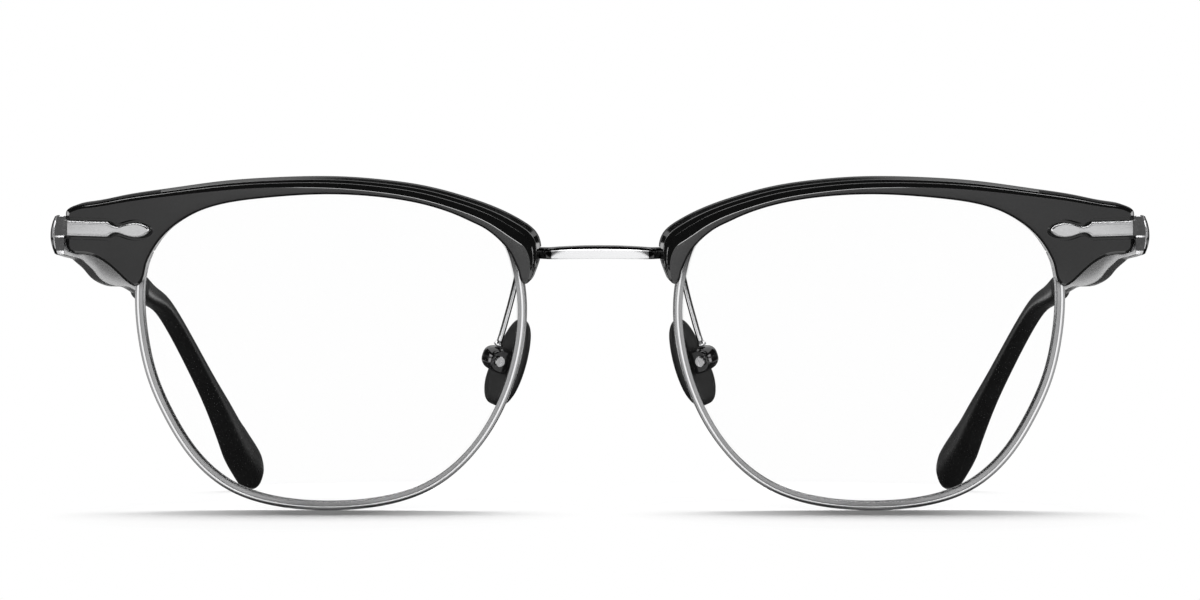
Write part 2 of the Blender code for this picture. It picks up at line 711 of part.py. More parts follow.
def make_bridge(parent):
    """The bridge: a bar that curves from rim to rim."""
    bridge = stack("bridge", bridge_rings(0), satin_metal(), parent)
    cut(bridge, rim_plug(-1, parent), rim_plug(1, parent))
    return bridge


def rim_edge_at(level_share, outer=True):
    """How far out the rim's outer edge lies at a level, on its temple or nose side."""
    loop = rim_outline()
    level = level_share * HALF_HEIGHT
    off = np.where((loop[:, 0] > RIM_CENTRE) == outer, abs(loop[:, 1] - level), math.inf)
    return float(loop[int(np.argmin(off)), 0])


def make_lock(side, word, parent):
    """The rim lock: two blocks on the rim's ends, closed by a screw from below."""
    level = LOCK_LEVEL_SHARE * HALF_HEIGHT
    edge = rim_edge_at(LOCK_LEVEL_SHARE)
    out = edge + LOCK_REACH
    front = BROW_LIP + (RIM_DEPTH - LOCK_DEPTH) / 2
    depths = (front, front + LOCK_DEPTH)
    low, high = level - LOCK_HEIGHT / 2, level + LOCK_HEIGHT / 2
    axis = front_point(side, out - LOCK_SCREW_EDGE, low - SEAT_GAP, front + LOCK_DEPTH / 2)
    seat = frame_matrix(axis, (0, 0, -1), (1, 0, 0))
    hole_radius = LOCK_SCREW_RADIUS + SEAT_GAP
    for part, bottom, top in (("lower", low, level - LOCK_SLIT / 2),
                              ("upper", level + LOCK_SLIT / 2, high)):
        name = "rim_lock_%s_%s" % (part, word)
        jaw = front_block(name, side, (edge - RIM_WALL, bottom), (out, top), depths,
                          satin_metal(), parent)
        hole = turned(name + "_hole", seat, ((hole_radius, -LOCK_HEIGHT - CUT_OVERRUN),
                                             (hole_radius, CUT_OVERRUN)), SMALL_SIDES, None, parent)
        cut(jaw, rim_plug(side, parent), hole)
    slotted_screw("rim_lock_screw_" + word, seat, LOCK_SCREW_RADIUS, LOCK_HEIGHT,
                  LOCK_HEAD_RADIUS, SCREW_HEAD_HEIGHT, bright_metal(), parent)
    pocket_low = low - SCREW_HEAD_HEIGHT - SEAT_GAP - POCKET_MARGIN
    return front_block("lock_pocket_" + word, side, (edge - RIM_WALL * 2, pocket_low),
                       (out + POCKET_MARGIN, high + POCKET_MARGIN),
                       (front - POCKET_MARGIN, BROW_DEPTH + CUT_OVERRUN), None, parent)


def make_brow_screw(side, word, end, shares, root, stop, parent):
    """A screw through a lug on the rim into the brow. Returns the tool that bores for it."""
    back = RIM_BACK + SEAT_GAP
    head = back + LUG_THICKNESS + SEAT_GAP
    end_across, end_up = place(shares)
    across, up = square_behind(end_across, end_up, head - stop)
    low = (min(across, root) - (LUG_END if root > across else 0), up - LUG_WIDTH / 2)
    high = (max(across, root) + (LUG_END if root < across else 0), up + LUG_WIDTH / 2)
    lug = front_block("brow_lug_%s_%s" % (end, word), side, low, high,
                      (back, back + LUG_THICKNESS), satin_metal(), parent)
    origin = front_point(side, across, up, head)
    way = origin - front_point(side, end_across, end_up, stop)
    seat = frame_matrix(origin, way, (0, 0, 1))
    name = "brow_screw_%s_%s" % (end, word)
    slotted_screw(name, seat, BROW_SCREW_RADIUS, way.length - SEAT_GAP, BROW_HEAD_RADIUS,
                  SCREW_HEAD_HEIGHT, bright_metal(), parent)
    radius = BROW_SCREW_RADIUS + SEAT_GAP
    bore = turned(name + "_bore", seat, ((radius, -way.length), (radius, CUT_OVERRUN)),
                  SMALL_SIDES, None, parent)
    cut(lug, bore)
    return bore


def recess_tool(side, word, parent):
    """The routed bed in the brow for the endpiece's bar and leaf."""
    loop = bar_outline(RECESS_MARGIN, CUT_OVERRUN)
    rows = ((loop, BAR_RECESS), (loop, -CUT_OVERRUN))
    return front_stack("bar_recess_" + word, side, rows, None, parent)


def pad_axes(side):
    """The pad's width, outward and long directions, in the front's own frame."""
    lean, splay = math.radians(PAD_LEAN_DEG), math.radians(PAD_SPLAY_DEG)
    long_way = Vector((-side * math.sin(lean), 0, math.cos(lean)))
    wide = Vector((side * math.sin(splay), math.cos(splay), 0))
    wide = (wide - long_way * wide.dot(long_way)).normalized()
    outward = wide.cross(long_way) * side
    return wide, outward, long_way


def pad_pivot_place(side):
    """Where the pad rocks on its screw, in the front's own frame."""
    centre = Vector((side * PAD_SIDE, PAD_SETBACK, PAD_LEVEL))
    return centre + pad_axes(side)[1] * (PAD_THICKNESS / 2 + BOX_STANDOFF + BOX_DEPTH / 2)


def make_nose_pad(side, word, front):
    """A nose pad on its insert, the box that holds it, its screw and its arm."""
    wide, outward, long_way = pad_axes(side)
    pivot_place = pad_pivot_place(side)
    pivot = add_empty("nose_pad_pivot_" + word, pivot_place, front)
    turn = Matrix((wide, outward, long_way)).transposed().to_4x4()
    fixed = Matrix.Translation(pivot_place) @ turn

    back = -(BOX_DEPTH / 2 + BOX_STANDOFF)
    outline = smooth_curve(PAD_OUTLINE_SHARES, 2, closed=True)
    rings = []
    for size, deep in PAD_ROWS_SHARES:
        loop = outline * (PAD_WIDTH / 2 * size, PAD_LENGTH / 2 * size)
        rings.append([turn @ Vector((x, back - deep * PAD_THICKNESS, z)) for x, z in loop])
    stack("nose_pad_" + word, rings, black_rubber(), pivot)

    inner = BOX_WIDTH / 2 - BOX_WALL - BOX_CLEARANCE
    axis = (1, 0, 0)
    level = turn @ frame_matrix((0, 0, 0), axis, (0, 0, 1))
    insert = turned("pad_insert_" + word, level, ((INSERT_RADIUS, -inner), (INSERT_RADIUS, inner)),
                    ROUND_SIDES, satin_metal(), pivot)
    foot = block("pad_foot_" + word, turn, (SEAT_GAP - inner, back + SEAT_GAP, -INSERT_FOOT / 2),
                 (inner - SEAT_GAP, 0, INSERT_FOOT / 2), None, pivot)
    radius = PAD_SCREW_RADIUS + PAD_SCREW_FIT
    join(insert, foot)
    cut(insert, turned("insert_bore_" + word, level, ((radius, -BOX_WIDTH), (radius, BOX_WIDTH)),
                       SMALL_SIDES, None, pivot))

    half = Vector((BOX_WIDTH, BOX_DEPTH, BOX_HEIGHT)) / 2
    box = block("pad_box_" + word, fixed, -half, half, bright_metal(), front)
    bevel(box, BOX_EDGE)
    hollow = block("box_hollow_" + word, fixed,
                   (BOX_WALL - half.x, -half.y - CUT_OVERRUN, BOX_WALL - half.z),
                   (half.x - BOX_WALL, half.y - BOX_WALL, half.z - BOX_WALL), None, front)
    across = fixed @ frame_matrix((0, 0, 0), axis, (0, 0, 1))
    bore = turned("box_bore_" + word, across, ((radius, -BOX_WIDTH), (radius, BOX_WIDTH)),
                  SMALL_SIDES, None, front)
    cut(box, hollow, bore)

    head = fixed @ frame_matrix((-half.x - SEAT_GAP, 0, 0), (-1, 0, 0), (0, 0, 1))
    slotted_screw("pad_screw_" + word, head, PAD_SCREW_RADIUS, BOX_WIDTH + SEAT_GAP,
                  PAD_HEAD_RADIUS, PAD_HEAD_HEIGHT, bright_metal(), front)

    foot_side = rim_edge_at(ARM_FOOT_LEVEL_SHARE, outer=False) + RIM_WALL / 2
    foot_level = ARM_FOOT_LEVEL_SHARE * HALF_HEIGHT
    start = front_point(side, foot_side, foot_level, RIM_BACK + SEAT_GAP)
    top = fixed @ Vector((0, 0, half.z + SEAT_GAP))
    shares = smooth_curve(ARM_PATH_SHARES, 2)
    way = top - start
    path = [start + Vector((way.x * a, way.y * b, way.z * d)) for a, d, b in shares]
    path[0:1] = [start, start + back_direction(side, foot_side, foot_level) * ARM_RADIUS]
    sections = [circle(ARM_RADIUS, WIRE_SIDES)] * len(path)
    arm = swept("pad_arm_" + word, path, sections, bright_metal(), front, Vector((0, 1, 0)))
    collar_seat = fixed @ Matrix.Translation((0, 0, half.z + SEAT_GAP))
    collar = turned("arm_collar_" + word, collar_seat,
                    ((ARM_COLLAR_RADIUS, 0), (ARM_COLLAR_RADIUS, ARM_COLLAR_HEIGHT),
                     (ARM_RADIUS, ARM_COLLAR_HEIGHT * 2)), WIRE_SIDES, None, front)
    join(arm, collar)


def hinge_place(side):
    """The hinge's axis at the middle of its barrel, from the front's datum."""
    across = plate_outer() - PLATE_THICKNESS - BARREL_INBOARD
    return Vector((side * across, butt_place(), plate_level()))


def make_hinge(side, word, datum, pivot):
    """A three-knuckle hinge: a leaf on the endpiece, a leaf on the temple, and a screw."""
    half = BARREL_HEIGHT / 2
    middle = half * MIDDLE_KNUCKLE_SHARE
    gap = SEAT_GAP / 2
    upright = Matrix.Translation(hinge_place(side))
    clear = BARREL_RADIUS + LEAF_CLEARANCE
    bore_radius = HINGE_SCREW_RADIUS + HINGE_SCREW_FIT
    inner, outer = sorted((side * (BARREL_SIDE - LEAF_THICKNESS), side * BARREL_SIDE))
    leaves = (("front_hinge_", datum, upright, -1, ((-middle - gap, middle + gap),)),
              ("temple_hinge_", pivot, Matrix(), 1, ((-half - CUT_OVERRUN, -middle + gap),
                                                     (middle - gap, half + CUT_OVERRUN))))
    for name, parent, frame, way, spaces in leaves:
        near, far = sorted((way * HINGE_LEAF_START, way * LEAF_LENGTH))
        leaf = block(name + word, frame, (inner, near, -half), (outer, far, half),
                     satin_metal(), parent)
        barrel = turned(name + word + "_barrel", frame, ((BARREL_RADIUS, -half), (BARREL_RADIUS, half)),
                        ROUND_SIDES, None, parent)
        join(leaf, barrel)
        for k, (low, high) in enumerate(spaces):
            space = turned("%s%s_space_%d" % (name, word, k), frame, ((clear, low), (clear, high)),
                           ROUND_SIDES, None, parent)
            cut(leaf, space)
        bore = turned(name + word + "_bore", frame,
                      ((bore_radius, -half - CUT_OVERRUN), (bore_radius, half + CUT_OVERRUN)),
                      SMALL_SIDES, None, parent)
        cut(leaf, bore)
    seat = upright @ Matrix.Translation((0, 0, half + SEAT_GAP))
    slotted_screw("hinge_screw_" + word, seat, HINGE_SCREW_RADIUS, BARREL_HEIGHT + SEAT_GAP,
                  SCREW_HEAD_RADIUS, SCREW_HEAD_HEIGHT, bright_metal(), datum)


def rounded_section(width, height, sides):
    """A soft-cornered oval section."""
    ring = []
    for x, y in circle(1, sides):
        soft = 1 / (abs(x) ** SOFT_POWER + abs(y) ** SOFT_POWER) ** (1 / SOFT_POWER)
        ring.append((x * soft * width / 2, y * soft * height / 2))
    return ring


def tip_path(drop):
    """The tip's centre line from its mouth to its end, measured from the hinge."""
    start = BARREL_INBOARD + TEMPLE_THICKNESS_END / 2
    return [(start - inward * TEMPLE_INWARD, along * TEMPLE_REACH, -down * drop)
            for along, inward, down in smooth_curve(TIP_PATH_SHARES, 2)]


def path_frames(path):
    """The side and upward directions at each point of a path that runs back."""
    frames = []
    for i in range(len(path)):
        run = Vector(path[min(i + 1, len(path) - 1)]) - Vector(path[max(i - 1, 0)])
        side = run.cross(Vector((0, 0, 1))).normalized()
        frames.append((Vector(path[i]), side, side.cross(run).normalized()))
    return frames


def at_share(frames, share):
    """The frame at a share of a path's length, between its points."""
    steps = [0.0]
    for near, far in zip(frames, frames[1:]):
        steps.append(steps[-1] + (far[0] - near[0]).length)
    want = share * steps[-1]
    i = min(max(k for k in range(len(steps)) if steps[k] <= want), len(frames) - 2)
    t = (want - steps[i]) / (steps[i + 1] - steps[i])
    return tuple(near.lerp(far, t) for near, far in zip(frames[i], frames[i + 1]))


def tip_rings(drop):
    """The outside of the temple tip, from its mouth to its end."""
    frames = path_frames(tip_path(drop))
    rings = []
    for share, tall, wide in smooth_curve(TIP_SIZE_SHARES, 2):
        origin, across, upward = at_share(frames, min(max(share, 0.0), 1.0))
        section = rounded_section(wide * TIP_THICKNESS, tall * TIP_HEIGHT, SECTION_SIDES)
        rings.append([origin + across * x + upward * y for x, y in section])
    return rings


def core_rings(drop, grow, shares):
    """Sections of the metal core inside the tip."""
    frames = path_frames(tip_path(drop))
    rings = []
    for share in shares:
        origin, across, upward = at_share(frames, share)
        section = rounded_section(CORE_THICKNESS + grow * 2, CORE_HEIGHT + grow * 2, SECTION_SIDES)
        rings.append([origin + across * x + upward * y for x, y in section])
    return rings


def tip_drop(hinge_height):
    """How far the tip's line drops, so that the tip just rests on the ground."""
    drop = hinge_height
    for _ in range(DROP_ROUNDS):
        drop += hinge_height + min(p.z for ring in tip_rings(drop) for p in ring)
    return drop


def mirrored(rings, side):
    """Rings of the left side, or the same rings turned over for the right side."""
    return [[Vector((p.x * side, p.y, p.z)) for p in ring] for ring in rings]


def temple_rings(drop):
    """Sections of the metal temple from its butt to the end of its core."""
    table = smooth_curve(TEMPLE_SHARES, 2)
    last = TIP_START_SHARE
    rings = []
    for along, inward, low, high in table:
        back = along * TEMPLE_REACH
        thin = PLATE_THICKNESS + (TEMPLE_THICKNESS_END - PLATE_THICKNESS) * along / last
        crown = PLATE_CROWN * (1 - along / last) + TEMPLE_CROWN_END * along / last
        edge = PLATE_EDGE * (high - low)
        inner = BARREL_INBOARD - inward * TEMPLE_INWARD
        section = temple_section(thin, low * PLATE_HEIGHT, high * PLATE_HEIGHT, crown, edge)
        rings.append([Vector((inner + x, max(back, TEMPLE_BUTT_GAP), z)) for x, z in section])
    mouth, across, upward = path_frames(tip_path(drop))[0]
    square = upward.cross(across)
    for point in rings[-1]:
        point.y -= (point - mouth).dot(square) / square.y + SEAT_GAP
    return rings


def temple_section(thickness, low, high, crown, edge):
    """The temple's section, with as many points as its core has."""
    middle = (low + high) / 2
    quarter = (high - low) / 4
    shoulder = thickness + crown * TEMPLE_SHOULDER_SHARE
    return ((thickness + crown, middle), (shoulder, middle + quarter), (thickness, high - edge),
            (thickness - edge, high), (edge / 2, high), (0, high - edge / 2), (0, middle),
            (0, low + edge / 2), (edge / 2, low), (thickness - edge, low), (thickness, low + edge),
            (shoulder, middle - quarter))


def make_temple(side, word, pivot, drop):
    """A temple: a metal panel and bar with a core, and the plastic tip over the core."""
    bar = temple_rings(drop)
    shares = [CORE_REACH_SHARE * k / CORE_STEPS for k in range(CORE_STEPS + 1)]
    core = core_rings(drop, 0, shares)
    _, across, upward = path_frames(tip_path(drop))[0]
    core[0] = [p - upward.cross(across) * SEAT_GAP for p in core[0]]
    stack("temple_" + word, mirrored(bar + core, side), satin_metal(), pivot)
    mouth = core_rings(drop, SEAT_GAP, [CORE_REACH_SHARE + CORE_SPARE_SHARE] + shares[:0:-1] + [0.0])
    outside = tip_rings(drop)
    stack("temple_tip_" + word, mirrored(mouth + outside, side), black_tip(), pivot)


def rim_lowest():
    """The lowest point of a rim below the front's datum, with the front tilted."""
    low = 0.0
    for across, up in rim_outline():
        for depth in (BROW_LIP, BROW_LIP + RIM_EDGE):
            point = front_point(1, across, up, depth)
            low = min(low, point.z * math.cos(TILT) + point.y * math.sin(TILT))
    return low


def front_most():
    """The foremost point of the brows, from the front's datum."""
    points = [p for loop, depth in brow_rows() for p in front_ring(1, loop, depth)]
    return min(p.y * math.cos(TILT) - p.z * math.sin(TILT) for p in points)


def add_empty(name, location, parent=None):
    """An empty that carries pieces."""
    empty = bpy.data.objects.new(name, None)
    bpy.context.scene.collection.objects.link(empty)
    empty.location = location
    empty.parent = parent
    return empty


def build_frame():
    """The whole frame, with its middle over the origin."""
    lift = -rim_lowest()
    drop = tip_drop(lift + plate_level())
    back_most = butt_place() + max(p.y for ring in tip_rings(drop) for p in ring)
    middle = (front_most() + back_most) / 2
    datum = add_empty("frame_datum", (0, -middle, lift))
    front = add_empty("front_frame", (0, 0, 0), datum)
    front.rotation_euler = (TILT, 0, 0)
    tilt_back = Matrix.Rotation(-TILT, 4, "X")
    make_bridge(front)
    for word, side in SIDES:
        make_rim(side, word, front)
        make_lens(side, word, front)
        brow = make_brow(side, word, front)
        endpiece = make_endpiece(side, word, front, tilt_back)
        pocket = make_lock(side, word, front)
        nose_bore = make_brow_screw(side, word, "nose", NOSE_SCREW_SHARES,
                                    place((NOSE_LUG_ROOT_SHARE, 0))[0], BROW_SCREW_STOP, front)
        temple_bore = make_brow_screw(side, word, "temple", TEMPLE_SCREW_SHARES,
                                      place((TEMPLE_LUG_ROOT_SHARE, 0))[0], BAR_SCREW_STOP, front)
        slot = stack("bridge_slot_" + word, bridge_rings(SEAT_GAP, CUT_OVERRUN), None, front)
        cut(brow, rim_plug(side, front), recess_tool(side, word, front), pocket, nose_bore,
            temple_bore, slot)
        cut(endpiece, temple_bore)
        make_nose_pad(side, word, front)
        pivot = add_empty("hinge_axis_" + word, hinge_place(side), datum)
        make_hinge(side, word, datum, pivot)
        make_temple(side, word, pivot, drop)


for old in list(bpy.data.objects):
    bpy.data.objects.remove(old, do_unlink=True)
build_frame()
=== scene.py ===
"""Finished pieces, materials, studio and camera for a packed browline eyeglass frame.

Metres, +Z up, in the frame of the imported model. The wearer looks along -Y, so the right side is
at -X. The visible pieces are rebuilt finer than the solids, from the same sizes and places.
"""
import json
from math import atan2, copysign, cos, degrees, inf, pi, radians, sin, tan

import bmesh
import bpy
import numpy as np
from mathutils import Matrix, Vector
from mathutils.geometry import delaunay_2d_cdt


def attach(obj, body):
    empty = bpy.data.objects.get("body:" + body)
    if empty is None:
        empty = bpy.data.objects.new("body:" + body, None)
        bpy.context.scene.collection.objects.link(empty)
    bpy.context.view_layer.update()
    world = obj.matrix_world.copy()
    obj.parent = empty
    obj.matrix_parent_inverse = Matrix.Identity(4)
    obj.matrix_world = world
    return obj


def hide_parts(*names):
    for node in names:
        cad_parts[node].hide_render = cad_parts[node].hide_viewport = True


# Where the front's own frame stands
FRONT_BACK = -0.0716392
FRONT_LIFT = 0.0205174
FRONT_TILT_DEG = 8.0

# Rims and the curve of the front
RIM_WIDTH = 0.0509
RIM_HEIGHT = 0.0424
RIM_GAP = 0.0191
RIM_WALL = 0.00105
RIM_DEPTH = 0.002
LENS_RADIUS = 0.13
WRAP_DEG = 5.0
RIM_OUTLINE_SHARES = (
    (0.0, 1.0), (-0.27, 0.985), (-0.53, 0.93), (-0.75, 0.83), (-0.905, 0.69), (-0.967, 0.5),
    (-0.992, 0.3), (-0.978, 0.02), (-0.88, -0.36), (-0.75, -0.615), (-0.51, -0.865),
    (-0.26, -0.968), (0.0, -1.0), (0.27, -0.982), (0.53, -0.885), (0.715, -0.7), (0.85, -0.45),
    (0.94, -0.2), (0.985, 0.045), (1.0, 0.275), (0.972, 0.52), (0.87, 0.72), (0.655, 0.892),
    (0.34, 0.972))
# The rim's section: share of the wall in from the outside, share of the depth back from the front
RIM_SECTION_SHARES = (
    (1.0, 0.25), (0.62, 0.5), (1.0, 0.75), (1.0, 0.93), (0.97, 0.98), (0.9, 1.0), (0.1, 1.0),
    (0.03, 0.98), (0.0, 0.93), (0.0, 0.08), (0.015, 0.03), (0.06, 0.008), (0.28, 0.022),
    (0.31, 0.024), (0.49, 0.0565), (0.51, 0.08), (0.545, 0.08), (0.565, 0.068), (0.95, 0.126),
    (0.985, 0.16), (1.0, 0.2))
# Which sides of that section get painted shade (dark) and which a painted highlight (bright)
RIM_PAINTED_SHADE_SIDES = (9, 10, 11, 15, 16, 17, 18, 19, 20)
RIM_PAINTED_HIGHLIGHT_SIDES = (12, 13)
LENS_THICKNESS = 0.0015
LENS_LAND = 0.0003
GROOVE_DEPTH = 0.0004
GROOVE_WIDTH = 0.001
SEAT_GAP = 0.00006
CUT_OVERRUN = 0.001
LOCK_LEVEL_SHARE = 0.6
LOCK_REACH = 0.0031
LOCK_HEIGHT = 0.0036
LOCK_DEPTH = 0.0019
LOCK_SLIT = 0.0003
LOCK_HEAD_HEIGHT = 0.00045
POCKET_MARGIN = 0.0002
POCKET_INWARD = 0.0021

# Brows
BROW_LIP = 0.0017
BROW_LAP = 0.0012
STEP_WIDTH = 0.0016
BROW_BACK_EDGE = 0.00025
# Outer edge from the temple end round to the nose, and the stepped band's width there
BROW_OUTLINE_SHARES = (
    (0.962, 0.384, 0.2), (0.982, 0.37, 0.22), (1.006, 0.377, 0.24), (1.061, 0.427, 0.26),
    (1.143, 0.507, 0.26), (1.246, 0.552, 0.28), (1.338, 0.574, 0.3), (1.352, 0.606, 0.36),
    (1.356, 0.656, 0.4), (1.356, 0.785, 0.38), (1.351, 0.816, 0.38), (1.33, 0.837, 0.39),
    (1.218, 0.871, 0.42), (1.061, 0.911, 0.5), (0.853, 0.953, 0.54), (0.542, 1.008, 0.66),
    (0.338, 1.029, 0.68), (0.134, 1.0405, 0.76), (-0.069, 1.0405, 0.83), (-0.271, 1.023, 0.88),
    (-0.4715, 0.989, 0.94), (-0.672, 0.927, 1.02), (-0.872, 0.838, 1.22), (-0.973, 0.773, 1.4),
    (-1.046, 0.697, 1.3), (-1.066, 0.62, 1.05), (-1.055, 0.52, 0.55), (-1.035, 0.455, 0.26),
    (-1.018, 0.418, 0.2), (-0.998, 0.405, 0.2), (-0.978, 0.42, 0.2))
BROW_LENS_EDGE_SHARE = 0.15
# Facets of the stepped band from the face out: share of its width, degrees that it leans outwards
STEP_FACETS = ((0.03, 10), (0.36, 28), (0.1, 42), (0.02, 80), (0.2, 28), (0.07, 42), (0.02, 80),
               (0.2, 56))
STEP_DEEPEST = 0.0021
# How many of the band's outer facets get painted shade, and how far out that begins
STEP_PAINTED_SHADE_ROWS = 3
STEP_PAINTED_SHADE_FROM = 0.0565
# The face falls away to the lens: how far and over what distance
FACE_FALL = 0.00012
FACE_FALL_REACH = 0.0004
# Rows of the face by their distance in from the band
FACE_ROWS = (0.00014, 0.00008, 0.00003)
# Where the nose end's lens side runs, above its lowest point
NOSE_EDGE_SHARES = ((-0.966, 0.475), (-0.948, 0.53), (-0.926, 0.585), (-0.898, 0.632),
                    (-0.85, 0.69), (-0.79, 0.743))
# Above what level the lens side follows the rim, at the nose and over the temple end, and by how
# many of the rim's points it steps
NOSE_EDGE_TOP = 0.0164
TEMPLE_EDGE_RISE = 0.0024
LENS_SIDE_STRIDE = 3

# Bridge
BRIDGE_HEIGHT = 0.00162
BRIDGE_THICKNESS = 0.0016
BRIDGE_BOW = 0.0018
BRIDGE_RISE = 0.0003
BRIDGE_LEVEL_SHARE = 0.582
BRIDGE_PATH_SHARES = ((1.0, 0.0, 0.0, 0.86), (0.72, 0.02, 0.0, 0.86), (0.625, 0.26, 0.1, 0.88),
                      (0.54, 0.72, 0.35, 0.92), (0.38, 0.93, 0.7, 0.96), (0.185, 0.99, 0.93, 1.0))
# Share of the half thickness and half height, clockwise from the middle of the back
BRIDGE_SECTION_SHARES = (
    (1.0, 0.0), (1.0, 0.66), (0.93, 0.9), (0.7, 1.0), (-0.5, 1.0), (-0.62, 0.97), (-0.72, 0.9),
    (-0.94, 0.62), (-0.985, 0.5), (-1.0, 0.36), (-1.0, -0.7), (-0.97, -0.86), (-0.88, -0.97),
    (-0.74, -1.0), (0.7, -1.0), (0.93, -0.9), (1.0, -0.66))
# Its top chamfer's sides, and how far out its ends begin, both with painted shade
BRIDGE_PAINTED_SHADE_SIDES = (4, 5, 6, 7)
BRIDGE_PAINTED_SHADE_FROM = 0.0063

# Endpieces
BAR_HALF_HEIGHT = 0.00106
BAR_PROUD = 0.00035
BAR_RECESS = 0.0007
RECESS_MARGIN = 0.00035
BAR_LEVEL_SHARE = 0.711
LEAF_REACH = 0.0131
LEAF_SHARES = ((0.004, 0.14), (0.022, 0.36), (0.055, 0.64), (0.105, 0.87), (0.165, 0.94),
               (0.235, 0.82), (0.295, 0.59), (0.345, 0.455), (0.385, 0.52), (0.418, 0.78),
               (0.44, 0.97), (0.455, 1.0))
# How far from its point the leaf's rows draw back, and how much of its half height they may take
LEAF_POINT = 0.0016
LEAF_ROOM_SHARE = 0.6
# The bar's section from its edge to its sunk panel: distance in, height above the brow's face
BAR_EDGE_ROWS = ((0.0, 0.00002), (0.00003, 0.00012), (0.0002, 0.00033), (0.00024, 0.00035),
                 (0.00031, 0.00035), (0.00034, 0.00023), (0.00045, 0.00023), (0.00048, 0.00033))
# How far in that panel begins, and where along the leaf it ends and over what length
BAR_PANEL_FROM = 0.00033
NECK_SHARE = 0.36
NECK_FADE = 0.0008
PLATE_HEIGHT = 0.0051
PLATE_THICKNESS = 0.00145
PLATE_CROWN = 0.00045
PLATE_EDGE = 0.00035
# A softened edge's middle point lies in from the corner by its size divided by this
EDGE_PART = 3
PLATE_CORNER = 0.0012
PLATE_DROP = 0.00086
# Sunk corner fields with painted shade: height over the bar's middle from and to, depth, and how
# far in
CORNER_FIELDS = ((-0.00098, 0.00152), (-0.00295, -0.0012))
FIELD_DEPTH = 0.00014
FIELD_SETBACK = 0.0019
# Between what turns from the front the corner's own faces get painted shade
CORNER_PAINTED_SHADE_DEG = (37, 88)

# Temples, measured back from the hinge
HINGE_SETBACK = 0.0081
BARREL_INBOARD = 0.00135
TEMPLE_REACH = 0.13
TEMPLE_INWARD = 0.014
TEMPLE_SHARES = (
    (0.0, 0.0, -0.5, 0.5), (0.035, 0.0, -0.49, 0.47), (0.078, 0.01, -0.55, 0.35),
    (0.125, 0.02, -0.68, 0.3), (0.165, 0.03, -0.85, 0.25), (0.215, 0.04, -0.965, 0.16),
    (0.27, 0.055, -1.0, 0.05), (0.325, 0.07, -0.965, -0.09), (0.385, 0.08, -0.94, -0.28),
    (0.44, 0.09, -1.01, -0.4), (0.49, 0.1, -1.09, -0.47))
TEMPLE_THICKNESS_END = 0.00115
TEMPLE_CROWN_END = 0.0002
TEMPLE_BUTT_GAP = 0.00006
TIP_START_SHARE = 0.49
TIP_PATH_SHARES = (
    (0.49, 0.1, 0.11), (0.56, 0.107, 0.1336), (0.62, 0.155, 0.1564), (0.672, 0.217, 0.2076),
    (0.73, 0.319, 0.3087), (0.8, 0.464, 0.458), (0.87, 0.622, 0.6251), (0.935, 0.742, 0.7675),
    (0.985, 0.864, 0.8759), (1.0, 0.902, 0.9227))
# The last rows close the tip's end in a dome
TIP_SIZE_SHARES = (
    (0.0, 0.45, 0.62), (0.015, 0.5, 0.72), (0.1, 0.455, 0.74), (0.3, 0.375, 0.69),
    (0.45, 0.385, 0.71), (0.6, 0.47, 0.76), (0.72, 0.66, 0.86), (0.81, 0.86, 0.95),
    (0.87, 0.97, 1.0), (0.92, 0.99, 1.0), (0.96, 0.93, 0.93), (0.978, 0.79, 0.82),
    (0.9865, 0.59, 0.64), (0.9895, 0.33, 0.36))
TIP_DROP = 0.0374978
TIP_HEIGHT = 0.0072
TIP_THICKNESS = 0.0041
SOFT_POWER = 2.6

# Nose pads
PAD_LENGTH = 0.012
PAD_WIDTH = 0.0074
PAD_THICKNESS = 0.002
PAD_LEAN_DEG = 18.5
PAD_SPLAY_DEG = 30.0
PAD_OUTLINE_SHARES = ((-0.06, 1.0), (0.4, 0.86), (0.74, 0.42), (0.98, -0.12), (1.04, -0.6),
                      (0.68, -0.95), (0.06, -1.0), (-0.5, -0.92), (-0.88, -0.6), (-1.0, -0.12),
                      (-0.88, 0.42), (-0.54, 0.86))
PAD_ROWS_SHARES = ((0.3, 0.0), (0.8, 0.0), (0.93, 0.09), (0.99, 0.24), (1.0, 0.38), (0.97, 0.58),
                   (0.9, 0.74), (0.78, 0.86), (0.6, 0.93), (0.36, 0.965), (0.12, 0.975))
BOX_HEIGHT = 0.0034
BOX_WIDTH = 0.0033
BOX_DEPTH = 0.0024
BOX_STANDOFF = 0.00038
BOX_WALL = 0.00045
# How square the box's rounding is, and what divides its half depth where the hollow ends
BOX_ROUNDING = 0.7
BOX_HOLLOW_PART = 3
# The box's sections across its width: share of the half width, share of its full section
BOX_ROWS_SHARES = ((-1.0, 0.8), (-0.96, 0.86), (-0.8, 0.93), (-0.45, 0.985), (0.0, 1.0),
                   (0.45, 0.98), (0.78, 0.9), (0.93, 0.8), (1.0, 0.66))
ARM_RADIUS = 0.00038
COLLAR_RADIUS = 0.00062
COLLAR_HEIGHT = 0.00035
COLLAR_EDGE = 0.0000875
COLLAR_NECK = 0.0007
ARM_FOOT_LEVEL_SHARE = 0.47
# How far sideways the arm's faces with painted shade lean at least
ARM_PAINTED_SHADE_LEAN = 0.5
ARM_PATH_SHARES = ((0.0, 0.0, 0.0), (0.03, 0.03, 0.22), (0.13, 0.14, 0.52), (0.34, 0.38, 0.74),
                   (0.62, 0.66, 0.9), (0.9, 0.92, 1.0), (1.0, 1.0, 1.0))

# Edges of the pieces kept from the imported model
FITTING_EDGE = 0.00006
SCREW_EDGE = 0.00003
WELD_REACH = 0.000001

